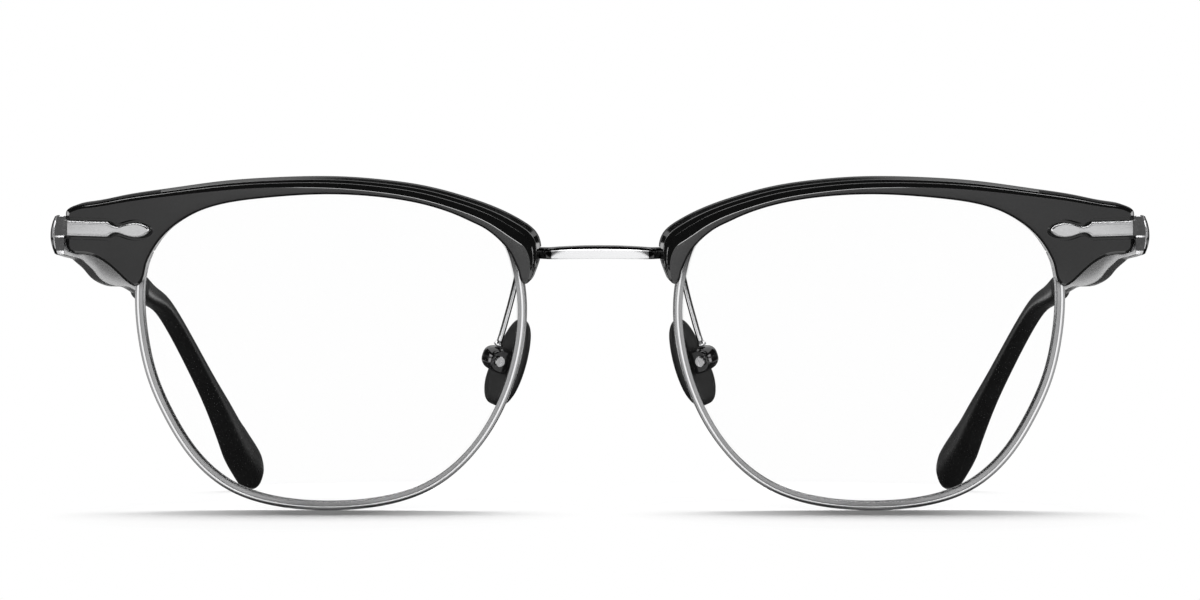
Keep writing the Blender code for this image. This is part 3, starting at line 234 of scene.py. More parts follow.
# Finishes: material, roughness and metal, its grain's stretch and scale, between what roughness
# and between what greys it moves, its relief, and other shader values. Brushed grain follows the
# flow of a piece and all other grain the piece's own axes
EVEN = (1.0, 1.0, 1.0)
BRUSHED = (0.02, 1.0, 1.0)
FINISHES = {
    "satin": ("satin_metal", 0.25, 1.0, BRUSHED, 6000.0, (0.18, 0.28), (0.62, 0.7), 5e-7, {}),
    # Painted shade: a darker grey of the rim's satin metal, for the rim's dark sides
    "slope": ("painted_shade_metal", 0.25, 1.0, BRUSHED, 6000.0, (0.2, 0.3), (0.29, 0.36), 5e-7, {}),
    # A lighter grey metal: the bridge's finish, and a painted highlight on the rim's bright strip
    "bright": ("bright_and_highlight_metal", 0.15, 1.0, BRUSHED, 6000.0, (0.14, 0.2), (0.84, 0.9), 3e-7, {}),
    "plate": ("plate_metal", 0.25, 1.0, (1.0, 0.05, 0.05), 9000.0, (0.16, 0.3), (0.56, 0.66),
              1e-6, {}),
    "bar": ("bar_metal", 0.25, 1.0, (0.3, 1.0, 1.0), 7000.0, (0.18, 0.3), (0.52, 0.66), 1e-6, {}),
    "temple": ("temple_metal", 0.25, 1.0, BRUSHED, 4000.0, (0.24, 0.29), (0.43, 0.5), 2e-7, {}),
    # Painted dark reflection: near-black metal for the bridge, corner, pad box and arm where they
    # look dark
    "smoke": ("painted_dark_reflection_metal", 0.1, 1.0, EVEN, 3000.0, (0.06, 0.12), (0.06, 0.09), 3e-7, {}),
    "polished": ("polished_metal", 0.1, 1.0, EVEN, 3000.0, (0.06, 0.14), (0.66, 0.76), 4e-7, {}),
    "chrome": ("chrome", 0.08, 1.0, EVEN, 3000.0, (0.05, 0.1), (0.86, 0.93), 3e-7, {}),
    "steps": ("polished_black", 0.1, 0.0, EVEN, 2500.0, (0.06, 0.12), (0.002, 0.004), 6e-7,
              {"IOR": 1.9}),
    "gloss": ("gloss_black", 0.1, 0.0, EVEN, 1500.0, (0.08, 0.16), (0.003, 0.006), 8e-7, {}),
    "face": ("satin_black", 0.36, 0.0, EVEN, 6000.0, (0.3, 0.42), (0.011, 0.018), 3e-6,
             {"Specular IOR Level": 0.36}),
    # Also painted shade on some facets of the brow's stepped band
    "tip": ("tip_black", 0.25, 0.0, EVEN, 1800.0, (0.24, 0.34), (0.002, 0.005), 2e-7,
            {"Specular IOR Level": 0.12}),
    "pad": ("pad_black", 0.5, 0.0, EVEN, 7000.0, (0.38, 0.55), (0.004, 0.01), 6e-6,
            {"Specular IOR Level": 0.3})}
# How much bluer than neutral the greys are
GREY_BLUE = 1.01
# Fine noise for grain and broad noise for wear, and between what stops they move a finish
NOISE_ROUGHNESS = 0.6
NOISE_STOPS = (0.3, 0.7)
GRAIN_DETAIL = 5.0
GRAIN_SHARE = 0.65
WEAR_SCALE = 220.0
WEAR_DETAIL = 3.0
WEAR_SHARE = 0.35
LENS_IOR = 1.55
LENS_ROUGHNESS = 0.02
LENS_ROUGHNESS_SPAN = (0.01, 0.03)
LENS_GREYS = (0.3, 0.4)
LENS_HAZE_SCALE = 90.0
LENS_EDGE_BLEND = 0.25
LENS_EDGE_ALPHA = 0.3

# Camera and studio
CAMERA_PLACE = (0.0, -0.541639, 0.01195)
CAMERA_PITCH_DEG = 91.845
FOCAL_MM = 110.16
SENSOR_MM = 36.0
CLIP_START = 0.01
CLIP_END = 100.0
FLOOR_REACH = 12.0
FLOOR_COLOUR = 0.88
FLOOR_LIFT = 0.02
WORLD_LIGHT = 0.05
# Where the shadows lie on either side of the middle lines, how much each way counts in the
# distance from there, and between what distances the floor fades to plain white
SHADOW_PLACE = (0.035, 0.0745, 0.0)
SHADOW_STRETCH = (1.2, 0.5, 1.0)
FLOOR_FADE = (0.006, 0.04)
# Lamps: name, place, width and depth, power, and whether reflections show it or it only gives light
LAMPS = (("top_lamp", (0.0, -0.095, 0.6), (0.9, 0.07), 1.0, True),
         ("right_lamp", (-0.62, 0.0, 0.16), (0.34, 0.25), 0.8, True),
         ("left_lamp", (0.62, 0.0, 0.16), (0.34, 0.25), 0.8, True),
         ("back_lamp", (0.0, 0.3, 0.6), (0.4, 0.4), 6.1, False),
         ("front_lamp", (0.0, -1.2, 0.14), (0.6, 0.2), 12.0, False))
# Cards: name, place, width and height, what it faces, and how bright it looks
CARDS = (("ceiling_card", (0, -0.97, 0.75), (4.0, 2.2), (0, -0.97, 0), 0.02),
         ("floor_card", (0, 0.09, 0.0004), (0.7, 0.325), (0, 0.09, 1), 0.05),
         ("low_card_right", (-0.048, -0.115, 0.028), (0.066, 0.07), (-0.048, -0.115, 1), 0.02),
         ("low_card_left", (0.048, -0.115, 0.028), (0.066, 0.07), (0.048, -0.115, 1), 0.02),
         ("back_card", (0, 1.5, 0.3), (2.6, 0.9), (0, 0, 0.3), 0.16),
         ("front_card", (0, -1.3, 0.42), (0.9, 0.45), (0, 0, 0.04), 7.0))
CORNER_TURNS_DEG = (-64, 64, -93, 93, -122, 122)
CORNER_CARD = (0.65, 0.9)
CORNER_DISTANCE = 1.2
CORNER_LEVEL = 0.02

# Counts, spacings and angles of the smoothing
RIM_STEPS = 9
BROW_STEPS = 7
FINE_STEPS = 6
BAR_STEPS = 12
CROWN_STEPS = 6
PAD_ROW_STEPS = 2
EDGE_SEGMENTS = 2
ROUND_SIDES = 40
WIRE_SIDES = 20
CORNER_STEPS = 10
FACE_SPACING = 0.0008
LENS_SPACING = 0.0021
FILL_EPSILON = 1e-7
TANGLE_REACH = 16
SMOOTH_ANGLE_DEG = 32.0
BROW_SHARP_DEG = 14.0
SIDES = (("right", -1), ("left", 1))

# Worked out from the sizes above
WRAP = radians(WRAP_DEG)
TILT = radians(FRONT_TILT_DEG)
RIM_CENTRE = (RIM_GAP + RIM_WIDTH) / 2
HALF_WIDTH = RIM_WIDTH / 2
HALF_HEIGHT = RIM_HEIGHT / 2
RIM_BACK = BROW_LIP + RIM_DEPTH
LOCK_LEVEL = LOCK_LEVEL_SHARE * HALF_HEIGHT
BRIDGE_LEVEL = BRIDGE_LEVEL_SHARE * HALF_HEIGHT
BAR_LEVEL = BAR_LEVEL_SHARE * HALF_HEIGHT
ARM_FOOT_LEVEL = ARM_FOOT_LEVEL_SHARE * HALF_HEIGHT
BROW_END = RIM_CENTRE + max(share[0] for share in BROW_OUTLINE_SHARES) * HALF_WIDTH
PLATE_OUTER = BROW_END + SEAT_GAP + PLATE_THICKNESS
DATUM = Matrix.Translation((0, FRONT_BACK, FRONT_LIFT))
FRONT = DATUM @ Matrix.Rotation(TILT, 4, "X")


def smooth_curve(points, steps, closed=False):
    """Points on a cubic curve through the given ones, in as many steps for each span."""
    knots = np.array(points, dtype=float)
    size = len(knots)
    if closed:
        knots = np.vstack([knots, knots[:1]])
    runs = np.diff(knots, axis=0)
    spans = np.linalg.norm(runs, axis=1)
    matrix = np.zeros((size, size))
    right = np.zeros((size, knots.shape[1]))
    for i, span in enumerate(spans):
        j = (i + 1) % size
        for near, far in ((i, j), (j, i)):
            matrix[near, near] += 2 / span
            matrix[near, far] += 1 / span
            right[near] += runs[i] / span ** 2
    slopes = np.linalg.solve(matrix, 3 * right)
    result = []
    for i, span in enumerate(spans):
        for k in range(steps):
            t = k / steps
            result.append((2 * t ** 3 - 3 * t ** 2 + 1) * knots[i]
                          + (t ** 3 - 2 * t ** 2 + t) * span * slopes[i]
                          + (3 * t ** 2 - 2 * t ** 3) * knots[i + 1]
                          + (t ** 3 - t ** 2) * span * slopes[(i + 1) % size])
    return np.array(result if closed else [*result, knots[-1]])


def inset(loop, distance):
    """A closed outline moved inwards, by one distance or by one for each point."""
    before = np.roll(loop, 1, axis=0)
    after = np.roll(loop, -1, axis=0)
    run = after - before
    run /= np.linalg.norm(run, axis=1)[:, None]
    area = np.sum(loop[:, 0] * after[:, 1] - loop[:, 1] * after[:, 0])
    inward = np.column_stack([-run[:, 1], run[:, 0]]) * (1 if area > 0 else -1)
    return loop + inward * np.reshape(distance, (-1, 1))


def untangle(loop):
    """A closed outline without the small loops where it crosses itself."""
    result = loop.copy()
    count = len(loop)
    for gap in range(2, TANGLE_REACH):
        for i in range(count):
            near, far = result[i], result[(i + gap) % count]
            end = result[(i + gap + 1) % count]
            run, other = result[(i + 1) % count] - near, end - far
            turn = run[0] * other[1] - run[1] * other[0]
            if turn == 0:
                continue
            between = far - near
            first = (between[0] * other[1] - between[1] * other[0]) / turn
            second = (between[0] * run[1] - between[1] * run[0]) / turn
            if 0 <= first <= 1 and 0 <= second <= 1:
                for k in range(1, gap + 1):
                    result[(i + k) % count] = near + (end - near) * k / (gap + 1)
    return result


def circle(radius, sides):
    """Points of a circle about the origin."""
    angles = [2 * pi * i / sides for i in range(sides)]
    return [(radius * cos(a), radius * sin(a)) for a in angles]


def bow(across, up):
    """How far the front curves back at a place on it."""
    off = across - RIM_CENTRE
    return off * tan(WRAP) + (off ** 2 + up ** 2) / (2 * LENS_RADIUS)


def front_point(side, across, up, depth):
    """A point on or behind the curved front, in the world."""
    return FRONT @ Vector((side * (across - depth * sin(WRAP)),
                           bow(across, up) + depth * cos(WRAP), up))


def front_ring(side, loop, depth):
    """An outline on the front, at one depth or at one for each point."""
    depths = np.broadcast_to(depth, (len(loop),))
    return [front_point(side, p[0], p[1], d) for p, d in zip(loop, depths)]


def fill(loop, spacing):
    """Inner points and triangles that fill a closed flat outline."""
    low, high = loop.min(axis=0), loop.max(axis=0)
    inner = []
    after = np.roll(loop, -1, axis=0)
    across, up = loop.T
    run, rise = (after - loop).T
    for row, x in enumerate(np.arange(low[0] + spacing / 2, high[0], spacing)):
        shift = spacing / 2 * (row % 2)
        for y in np.arange(low[1] + spacing / 2 + shift, high[1], spacing):
            crossing = (up > y) != (after[:, 1] > y)
            at = across + (y - up) * run / np.where(crossing, rise, 1.0)
            inside = np.count_nonzero(crossing & (at > x)) % 2
            if inside and np.min(np.hypot(across - x, up - y)) > spacing / 2:
                inner.append((x, y))
    unit = float(np.max(high - low))
    flat = [Vector(p) / unit for p in [*map(tuple, loop), *inner]]
    count = len(loop)
    edges = [(i, (i + 1) % count) for i in range(count)]
    result = delaunay_2d_cdt(flat, edges, [], 1, FILL_EPSILON)
    origins = [first[0] for first in result[3]]
    return inner, [tuple(origins[i] for i in face) for face in result[2]]


def finish_mesh(made, sharp=SMOOTH_ANGLE_DEG):
    """Turns an object's faces outwards and smooths all but its sharp edges."""
    work = bmesh.new()
    work.from_mesh(made.data)
    bmesh.ops.recalc_face_normals(work, faces=work.faces)
    work.to_mesh(made.data)
    work.free()
    made.data.shade_smooth()
    made.data.set_sharp_from_angle(angle=radians(sharp))
    return made


def link(name, data):
    """A named object of the scene for a mesh, a lamp or a camera."""
    made = bpy.data.objects.new(name, data)
    bpy.context.scene.collection.objects.link(made)
    return made


def stack(name, rings, caps=(None, None)):
    """A closed solid through rings. Its flow is how far along and around each point lies."""
    count = len(rings[0])
    points = [p for ring in rings for p in ring]
    flow, along, middle = [], 0.0, None
    for ring in rings:
        centre = sum(ring, Vector()) / count
        along += (centre - middle).length if middle else 0.0
        middle = centre
        around = 0.0
        for i, point in enumerate(ring):
            around += (point - ring[i - 1]).length if i else 0.0
            flow.append((along, around, 0.0))
    last = (len(rings) - 1) * count
    faces = [(k + i, k + (i + 1) % count, k + count + (i + 1) % count, k + count + i)
             for k in range(0, last, count) for i in range(count)]
    for first, cap in zip((0, last), caps):
        if cap is None:
            faces.append(tuple(first + i for i in range(count)))
            continue
        inner, triangles = cap
        base = len(points)
        points.extend(inner)
        flow.extend((p.x, p.z, 0.0) for p in inner)
        for triangle in triangles:
            faces.append(tuple(first + i if i < count else base + i - count for i in triangle))
    mesh = bpy.data.meshes.new(name)
    mesh.from_pydata([tuple(p) for p in points], [], faces)
    layer = mesh.attributes.new("flow", "FLOAT_VECTOR", "POINT")
    layer.data.foreach_set("vector", np.array(flow, dtype=np.float32).ravel())
    return finish_mesh(link(name, mesh))


def front_stack(name, side, rows, spacing, face=None):
    """A solid on the curved front, from rows of an outline and a depth."""
    caps = []
    for (loop, depth), shape in ((rows[0], face), (rows[-1], None)):
        inner, triangles = fill(loop, spacing)
        level = float(np.mean(np.broadcast_to(depth, (len(loop),))))
        depths = shape(np.array(inner)) if shape else [level] * len(inner)
        cap = [front_point(side, x, y, back) for (x, y), back in zip(inner, depths)]
        caps.append((cap, triangles))
    return stack(name, [front_ring(side, loop, depth) for loop, depth in rows], caps)


def block(name, low, high, depths, put):
    """A block between two corners and two depths, put in the world."""
    corners = (low, (high[0], low[1]), high, (low[0], high[1]))
    return stack(name, [[put(x, z, depth) for x, z in corners] for depth in depths])


def combine(target, operation, *tools):
    """Cuts tools from a piece or joins them on, for good, and removes them."""
    for tool in tools:
        modifier = target.modifiers.new(operation.lower(), "BOOLEAN")
        modifier.operation = operation
        modifier.solver = "EXACT"
        modifier.object = tool
    graph = bpy.context.evaluated_depsgraph_get()
    mesh = bpy.data.meshes.new_from_object(target.evaluated_get(graph))
    target.modifiers.clear()
    target.data = mesh
    for tool in tools:
        bpy.data.objects.remove(tool)
    return finish_mesh(target)


def dress(made, finishes, slot, body, *nodes):
    """Gives a piece its finishes and body, and hides the nodes that it replaces. The slot is not
    used.
    """
    while len(made.data.materials) < len(finishes):
        made.data.materials.append(None)
    for index, finish in enumerate(finishes):
        made.data.materials[index] = finish
    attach(made, body)
    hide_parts(*nodes)


def tint(made, *tests):
    """Gives the faces that pass each test the next material slot."""
    for _ in range(len(tests) + 1):
        made.data.materials.append(None)
    for polygon in made.data.polygons:
        for index, test in enumerate(tests):
            if test(polygon):
                polygon.material_index = index + 1
    return made


def rim_outline(distance=0.0):
    """The rim's outer edge as a smooth outline, moved inwards."""
    points = np.array(RIM_OUTLINE_SHARES) * (HALF_WIDTH, HALF_HEIGHT) + (RIM_CENTRE, 0)
    return inset(smooth_curve(points, RIM_STEPS, closed=True), distance)


def rim_index_at(level, outer=True):
    """Which point of the rim's outline lies at a level, on its temple or nose side."""
    loop = rim_outline()
    off = np.where((loop[:, 0] > RIM_CENTRE) == outer, abs(loop[:, 1] - level), inf)
    return int(np.argmin(off))


def rim_edge_at(level, outer=True):
    """How far out the rim's outer edge lies at a level, on its temple or nose side."""
    return float(rim_outline()[rim_index_at(level, outer), 0])


def rim_plug(side):
    """The space that the rim and its lens fill, with the seat gap round it."""
    rows = [(rim_outline(-SEAT_GAP), depth) for depth in (BROW_LIP - SEAT_GAP, RIM_BACK + SEAT_GAP)]
    return front_stack("rim_space", side, rows, LENS_SPACING)


def make_rim(side, word):
    """A split metal rim with a flat land, a chamfer inside it and rounded edges."""
    outline = rim_outline()
    start = rim_index_at(LOCK_LEVEL)
    section = np.array(RIM_SECTION_SHARES) * (RIM_WALL, RIM_DEPTH)
    loops = [inset(outline, step) for step in section[:, 0]]
    rings = []
    for i in range(len(outline) + 1):
        index = (start + i) % len(outline)
        ring = [loop[index] for loop in loops]
        if i in (0, len(outline)):
            toward = outline[(index + (1 if i == 0 else -1)) % len(outline)] - outline[index]
            ring = [p + toward / np.linalg.norm(toward) * LOCK_SLIT / 2 for p in ring]
        rings.append(front_ring(side, ring, BROW_LIP + section[:, 1]))
    rim = stack("fine_rim_" + word, rings)
    count = len(section)
    ends = len(outline) * count
    # Painted shade on the dark sides and a painted highlight on the bright strip, all one satin rim
    return tint(rim, lambda p: p.index < ends and p.index % count in RIM_PAINTED_SHADE_SIDES,
                lambda p: p.index < ends and p.index % count in RIM_PAINTED_HIGHLIGHT_SIDES)


def make_lens(side, word):
    """A curved lens with a ridge round its edge that sits in the rim's groove."""
    edge = RIM_WALL + SEAT_GAP
    front = BROW_LIP + (RIM_DEPTH - LENS_THICKNESS) / 2
    middle = BROW_LIP + RIM_DEPTH / 2
    shoulder = GROOVE_WIDTH / 2 - SEAT_GAP
    rows = [(rim_outline(edge + step), depth) for step, depth in (
        (LENS_LAND, front), (0, middle - shoulder), (-GROOVE_DEPTH, middle), (0, middle + shoulder),
        (LENS_LAND, front + LENS_THICKNESS))]
    return front_stack("fine_lens_" + word, side, rows, LENS_SPACING)


def brow_outline():
    """The brow's outline with the width of its stepped band at each point."""
    table = np.array(BROW_OUTLINE_SHARES)
    outer = np.column_stack([table[:, :2] * (HALF_WIDTH, HALF_HEIGHT) + (RIM_CENTRE, 0),
                             table[:, 2] * STEP_WIDTH])
    nose = [(RIM_CENTRE + x * HALF_WIDTH, y * HALF_HEIGHT) for x, y in NOSE_EDGE_SHARES]
    upper = []
    for point in rim_outline(BROW_LAP)[::LENS_SIDE_STRIDE]:
        low = NOSE_EDGE_TOP if point[0] < RIM_CENTRE else outer[0][1] + TEMPLE_EDGE_RISE
        if point[1] > low:
            upper.append(tuple(point))
    upper.sort()
    lens_side = [(x, y, BROW_LENS_EDGE_SHARE * STEP_WIDTH) for x, y in nose + upper]
    return smooth_curve(np.vstack([outer, lens_side]), BROW_STEPS, closed=True)


def make_brow(side, word):
    """A brow with fine steps, cut for the rim, bridge, lock and endpiece."""
    table = brow_outline()
    outline, band = table[:, :2], table[:, 2]
    lens_edge = outline[(len(BROW_OUTLINE_SHARES) - 1) * BROW_STEPS:]

    def face_depth(points):
        off = np.array([np.min(np.hypot(*(lens_edge - point).T)) for point in points])
        return FACE_FALL * np.exp(-off / FACE_FALL_REACH)

    rows = []
    for off in (*FACE_ROWS, 0):
        loop = untangle(inset(outline, band + off))
        rows.append((loop, face_depth(loop)))
    width, depth = 1.0, rows[-1][1]
    for share, lean in STEP_FACETS:
        width -= share
        depth = np.minimum(depth + band * share * tan(radians(lean)), STEP_DEEPEST)
        rows.append((untangle(inset(outline, band * width)), depth))
    back = inset(outline, BROW_BACK_EDGE)
    rows += [(outline, RIM_BACK - BROW_BACK_EDGE), (back, RIM_BACK)]
    brow = front_stack("fine_brow_" + word, side, rows, FACE_SPACING, face_depth)
    count = len(outline)
    face_end = len(FACE_ROWS) * count
    band_end = face_end + len(STEP_FACETS) * count
    cap_start = (len(rows) - 1) * count
    lens_start = count - len(lens_edge)
    # The last finish is painted shade: the band's lens side and its outer facets far out get the
    # duller tip black
    tint(brow, lambda p: p.index < face_end or p.index >= cap_start and p.normal.y < 0,
         lambda p: face_end <= p.index < band_end,
         lambda p: face_end <= p.index < band_end and p.index % count >= lens_start
         or band_end - STEP_PAINTED_SHADE_ROWS * count <= p.index < band_end
         and abs(p.center.x) > STEP_PAINTED_SHADE_FROM)
    edge = rim_edge_at(LOCK_LEVEL)
    lock_front = BROW_LIP + (RIM_DEPTH - LOCK_DEPTH) / 2
    low = LOCK_LEVEL - LOCK_HEIGHT / 2 - LOCK_HEAD_HEIGHT - SEAT_GAP - POCKET_MARGIN
    high = LOCK_LEVEL + LOCK_HEIGHT / 2 + POCKET_MARGIN
    pocket = block("lock_space", (edge - POCKET_INWARD, low),
                   (edge + LOCK_REACH + POCKET_MARGIN, high),
                   (lock_front - POCKET_MARGIN, RIM_BACK + CUT_OVERRUN),
                   lambda x, z, y: front_point(side, x, z, y))
    recess = bar_outline(RECESS_MARGIN, CUT_OVERRUN)
    rows = ((recess, BAR_RECESS), (recess, -CUT_OVERRUN))
    bed = front_stack("bar_space", side, rows, LENS_SPACING)
    slot = stack("bridge_space", bridge_rings(SEAT_GAP, CUT_OVERRUN))
    combine(brow, "DIFFERENCE", rim_plug(side), pocket, bed, slot)
    return finish_mesh(brow, BROW_SHARP_DEG)


def bridge_rings(grow, opening=0.0):
    """Sections of the bridge from one rim to the other, with their backs moved back."""
    reach = rim_edge_at(BRIDGE_LEVEL, outer=False) + RIM_WALL / 2
    base = bow(reach, BRIDGE_LEVEL) + (BROW_LIP + RIM_DEPTH / 2) * cos(WRAP)
    half = [(x * reach, base - bend * BRIDGE_BOW, BRIDGE_LEVEL + rise * BRIDGE_RISE, tall)
            for x, bend, rise, tall in smooth_curve(BRIDGE_PATH_SHARES, FINE_STEPS)]
    middle = (0, base - BRIDGE_BOW, BRIDGE_LEVEL + BRIDGE_RISE, 1.0)
    path = [*[(-x, y, z, tall) for x, y, z, tall in half], middle, *half[::-1]]
    rings = []
    for i, (x, y, z, tall) in enumerate(path):
        before, after = path[max(i - 1, 0)], path[min(i + 1, len(path) - 1)]
        run = Vector((after[0] - before[0], after[1] - before[1], 0)).normalized()
        back = Vector((-run.y, run.x, 0))
        ring = []
        for deep, high in BRIDGE_SECTION_SHARES:
            b = deep * (BRIDGE_THICKNESS / 2 + grow) + (opening if deep > 0 else 0)
            v = high * (tall * BRIDGE_HEIGHT / 2 + grow)
            ring.append(FRONT @ (Vector((x, y, z + v)) + back * b))
        rings.append(ring)
    return rings


def make_bridge():
    """The bridge, cut to both rims, with painted shade on its top chamfer and ends."""
    bridge = stack("fine_bridge", bridge_rings(0))
    tint(bridge, lambda p: p.index % len(BRIDGE_SECTION_SHARES) in BRIDGE_PAINTED_SHADE_SIDES
         or abs(p.center.x) > BRIDGE_PAINTED_SHADE_FROM)
    return combine(bridge, "DIFFERENCE", rim_plug(-1), rim_plug(1))


def bar_outline(grow=0.0, overrun=0.0):
    """The outline of the endpiece's bar and leaf, seen from the front."""
    outer = PLATE_OUTER - PLATE_THICKNESS / 2 + overrun
    tip = PLATE_OUTER - LEAF_REACH
    upper = [(tip + along * LEAF_REACH, high * BAR_HALF_HEIGHT) for along, high in LEAF_SHARES]
    half = smooth_curve(upper, FINE_STEPS)
    straight = np.linspace(half[-1][0], outer, BAR_STEPS)[1:]
    half = np.vstack([half, [(x, BAR_HALF_HEIGHT) for x in straight]])
    loop = np.vstack([half, half[::-1] * (1, -1)])
    return inset(loop, -grow) + (0, BAR_LEVEL)


def make_endpiece(side, word):
    """An endpiece: a bevelled bar with a leaf on the brow, turned back into a side plate."""
    outline = bar_outline()
    neck = PLATE_OUTER - LEAF_REACH * (1 - NECK_SHARE)
    rows = [(outline, BAR_RECESS - SEAT_GAP)]
    up = outline[:, 1] - BAR_LEVEL
    near_tip = np.clip(1 - (outline[:, 0] - outline[:, 0].min()) / LEAF_POINT, 0, 1)
    for inward, proud in BAR_EDGE_ROWS:
        lower = np.sign(up) * np.minimum(inward, abs(up) * LEAF_ROOM_SHARE)
        loop = outline + np.column_stack([inward * near_tip, -lower])
        leaf = np.clip((neck - outline[:, 0]) / NECK_FADE, 0, 1)
        panel = BAR_PROUD - proud if inward > BAR_PANEL_FROM else 0
        rows.append((loop, -(proud + panel * leaf)))
    endpiece = front_stack("fine_endpiece_" + word, side, rows[::-1], FACE_SPACING / 2)
    inner = PLATE_OUTER - PLATE_THICKNESS
    brow_end = FRONT.to_3x3() @ Vector((inner, bow(inner, BAR_LEVEL), BAR_LEVEL))
    front, level = brow_end.y - BAR_PROUD, brow_end.z
    middle = level - PLATE_DROP
    section = plate_section(PLATE_THICKNESS, middle - PLATE_HEIGHT / 2, middle + PLATE_HEIGHT / 2,
                            PLATE_CROWN, PLATE_EDGE)
    stations = [(front + HINGE_SETBACK, 0)]
    for k in range(CORNER_STEPS + 1):
        turn = pi / 2 * k / CORNER_STEPS
        stations.append((front + PLATE_CORNER * (1 - sin(turn)),
                         PLATE_CORNER * (1 - cos(turn))))
    rings = []
    for back, shorter in stations:
        share = 1 - shorter / (PLATE_THICKNESS + PLATE_CROWN)
        rings.append([DATUM @ Vector((side * (inner + x * share), back, z)) for x, z in section])
    combine(endpiece, "UNION", stack("side_plate", rings))
    start, end = PLATE_OUTER - FIELD_SETBACK, PLATE_OUTER + CUT_OVERRUN
    fields = [block("corner_field", (start, level + low), (end, level + high),
                    (front + FIELD_DEPTH, front - CUT_OVERRUN),
                    lambda x, z, y: DATUM @ Vector((side * x, y, z)))
              for low, high in CORNER_FIELDS]
    corner = PLATE_OUTER - PLATE_CORNER
    # Painted shade on the corner faces by how far they turn from the front, and on the sunk fields
    tint(endpiece, lambda p: abs(p.center.x) > corner and CORNER_PAINTED_SHADE_DEG[0]
         < degrees(atan2(abs(p.normal.x), -p.normal.y)) < CORNER_PAINTED_SHADE_DEG[1])
    for field in fields:
        tint(field, lambda p: True)
    return combine(endpiece, "DIFFERENCE", *fields)


def plate_section(thickness, low, high, crown, edge):
    """A side plate's section: flat inside, crowned outside, with softened edges."""
    middle, half = (low + high) / 2, (high - low) / 2
    soft, part, inner = edge / 2, edge / EDGE_PART, edge / (2 * EDGE_PART)
    ring = [(0, low + soft), (0, middle), (0, high - soft), (inner, high - inner), (soft, high),
            (thickness - edge, high), (thickness - part, high - part)]
    for k in range(1, 2 * CROWN_STEPS):
        level = 1 - k / CROWN_STEPS
        ring.append((thickness + crown * (1 - level ** 2), middle + level * (half - edge)))
    return ring + [(thickness - part, low + part), (thickness - edge, low), (soft, low),
                   (inner, low + inner)]


def path_frames(path, up=(0, 0, 1)):
    """Each point of a path with its side and upward directions."""
    frames = []
    for i in range(len(path)):
        run = Vector(path[min(i + 1, len(path) - 1)]) - Vector(path[max(i - 1, 0)])
        side = run.cross(Vector(up)).normalized()
        frames.append((Vector(path[i]), side, side.cross(run).normalized()))
    return frames


def at_share(frames, share):
    """The frame at a share of a path's length, between its points."""
    steps = [0.0]
    for near, far in zip(frames, frames[1:]):
        steps.append(steps[-1] + (far[0] - near[0]).length)
    want = share * steps[-1]
    i = min(max(k for k in range(len(steps)) if steps[k] <= want), len(frames) - 2)
    t = (want - steps[i]) / (steps[i + 1] - steps[i])
    return tuple(near.lerp(far, t) for near, far in zip(frames[i], frames[i + 1]))


def rounded_section(width, height):
    """A soft-cornered oval section."""
    ring = []
    for x, y in circle(1, ROUND_SIDES):
        soft = 1 / (abs(x) ** SOFT_POWER + abs(y) ** SOFT_POWER) ** (1 / SOFT_POWER)
        ring.append((x * soft * width / 2, y * soft * height / 2))
    return ring


def tip_frames():
    """Frames along the tip's centre line, measured from the hinge."""
    start = BARREL_INBOARD + TEMPLE_THICKNESS_END / 2
    path = [(start - inward * TEMPLE_INWARD, along * TEMPLE_REACH, -down * TIP_DROP)
            for along, inward, down in smooth_curve(TIP_PATH_SHARES, FINE_STEPS)]
    return path_frames(path)


def placed(rings, side, pivot):
    """Rings measured from the left hinge, put in the world on their own side."""
    return [[pivot + Vector((p.x * side, p.y, p.z)) for p in ring] for ring in rings]


def make_temple(side, word, pivot):
    """The metal temple: a panel that tapers into a bar."""
    rings = []
    for along, inward, low, high in smooth_curve(TEMPLE_SHARES, FINE_STEPS):
        share = along / TIP_START_SHARE
        thin = PLATE_THICKNESS + (TEMPLE_THICKNESS_END - PLATE_THICKNESS) * share
        crown = PLATE_CROWN * (1 - share) + TEMPLE_CROWN_END * share
        edge = PLATE_EDGE * (high - low)
        inner = BARREL_INBOARD - inward * TEMPLE_INWARD
        section = plate_section(thin, low * PLATE_HEIGHT, high * PLATE_HEIGHT, crown, edge)
        back = max(along * TEMPLE_REACH, TEMPLE_BUTT_GAP)
        rings.append([Vector((inner + x, back, z)) for x, z in section])
    mouth, across, upward = tip_frames()[0]
    square = upward.cross(across)
    for point in rings[-1]:
        point.y -= (point - mouth).dot(square) / square.y + SEAT_GAP
    return stack("fine_temple_" + word, placed(rings, side, pivot))


def make_tip(side, word, pivot):
    """The plastic temple tip, swelling to its domed end."""
    frames = tip_frames()
    rings = []
    for share, tall, wide in smooth_curve(TIP_SIZE_SHARES, FINE_STEPS):
        origin, across, upward = at_share(frames, min(max(share, 0.0), 1.0))
        section = rounded_section(wide * TIP_THICKNESS, tall * TIP_HEIGHT)
        rings.append([origin + across * x + upward * y for x, y in section])
    return stack("fine_tip_" + word, placed(rings, side, pivot))


def pad_turn(side):
    """The pad's width, outward and long directions as a turn in the world."""
    lean, splay = radians(PAD_LEAN_DEG), radians(PAD_SPLAY_DEG)
    long_way = Vector((-side * sin(lean), 0, cos(lean)))
    wide = Vector((side * sin(splay), cos(splay), 0))
    wide = (wide - long_way * wide.dot(long_way)).normalized()
    outward = wide.cross(long_way) * side
    return FRONT.to_3x3().to_4x4() @ Matrix((wide, outward, long_way)).transposed().to_4x4()


def make_pad(word, place):
    """A soft nose pad with a rolled edge and a slightly domed face."""
    back = -(BOX_DEPTH / 2 + BOX_STANDOFF)
    outline = smooth_curve(PAD_OUTLINE_SHARES, FINE_STEPS, closed=True)
    rings = []
    for size, deep in smooth_curve(PAD_ROWS_SHARES, PAD_ROW_STEPS):
        loop = outline * (PAD_WIDTH / 2 * size, PAD_LENGTH / 2 * size)
        rings.append([place @ Vector((x, back - deep * PAD_THICKNESS, z)) for x, z in loop])
    return stack("fine_pad_" + word, rings)


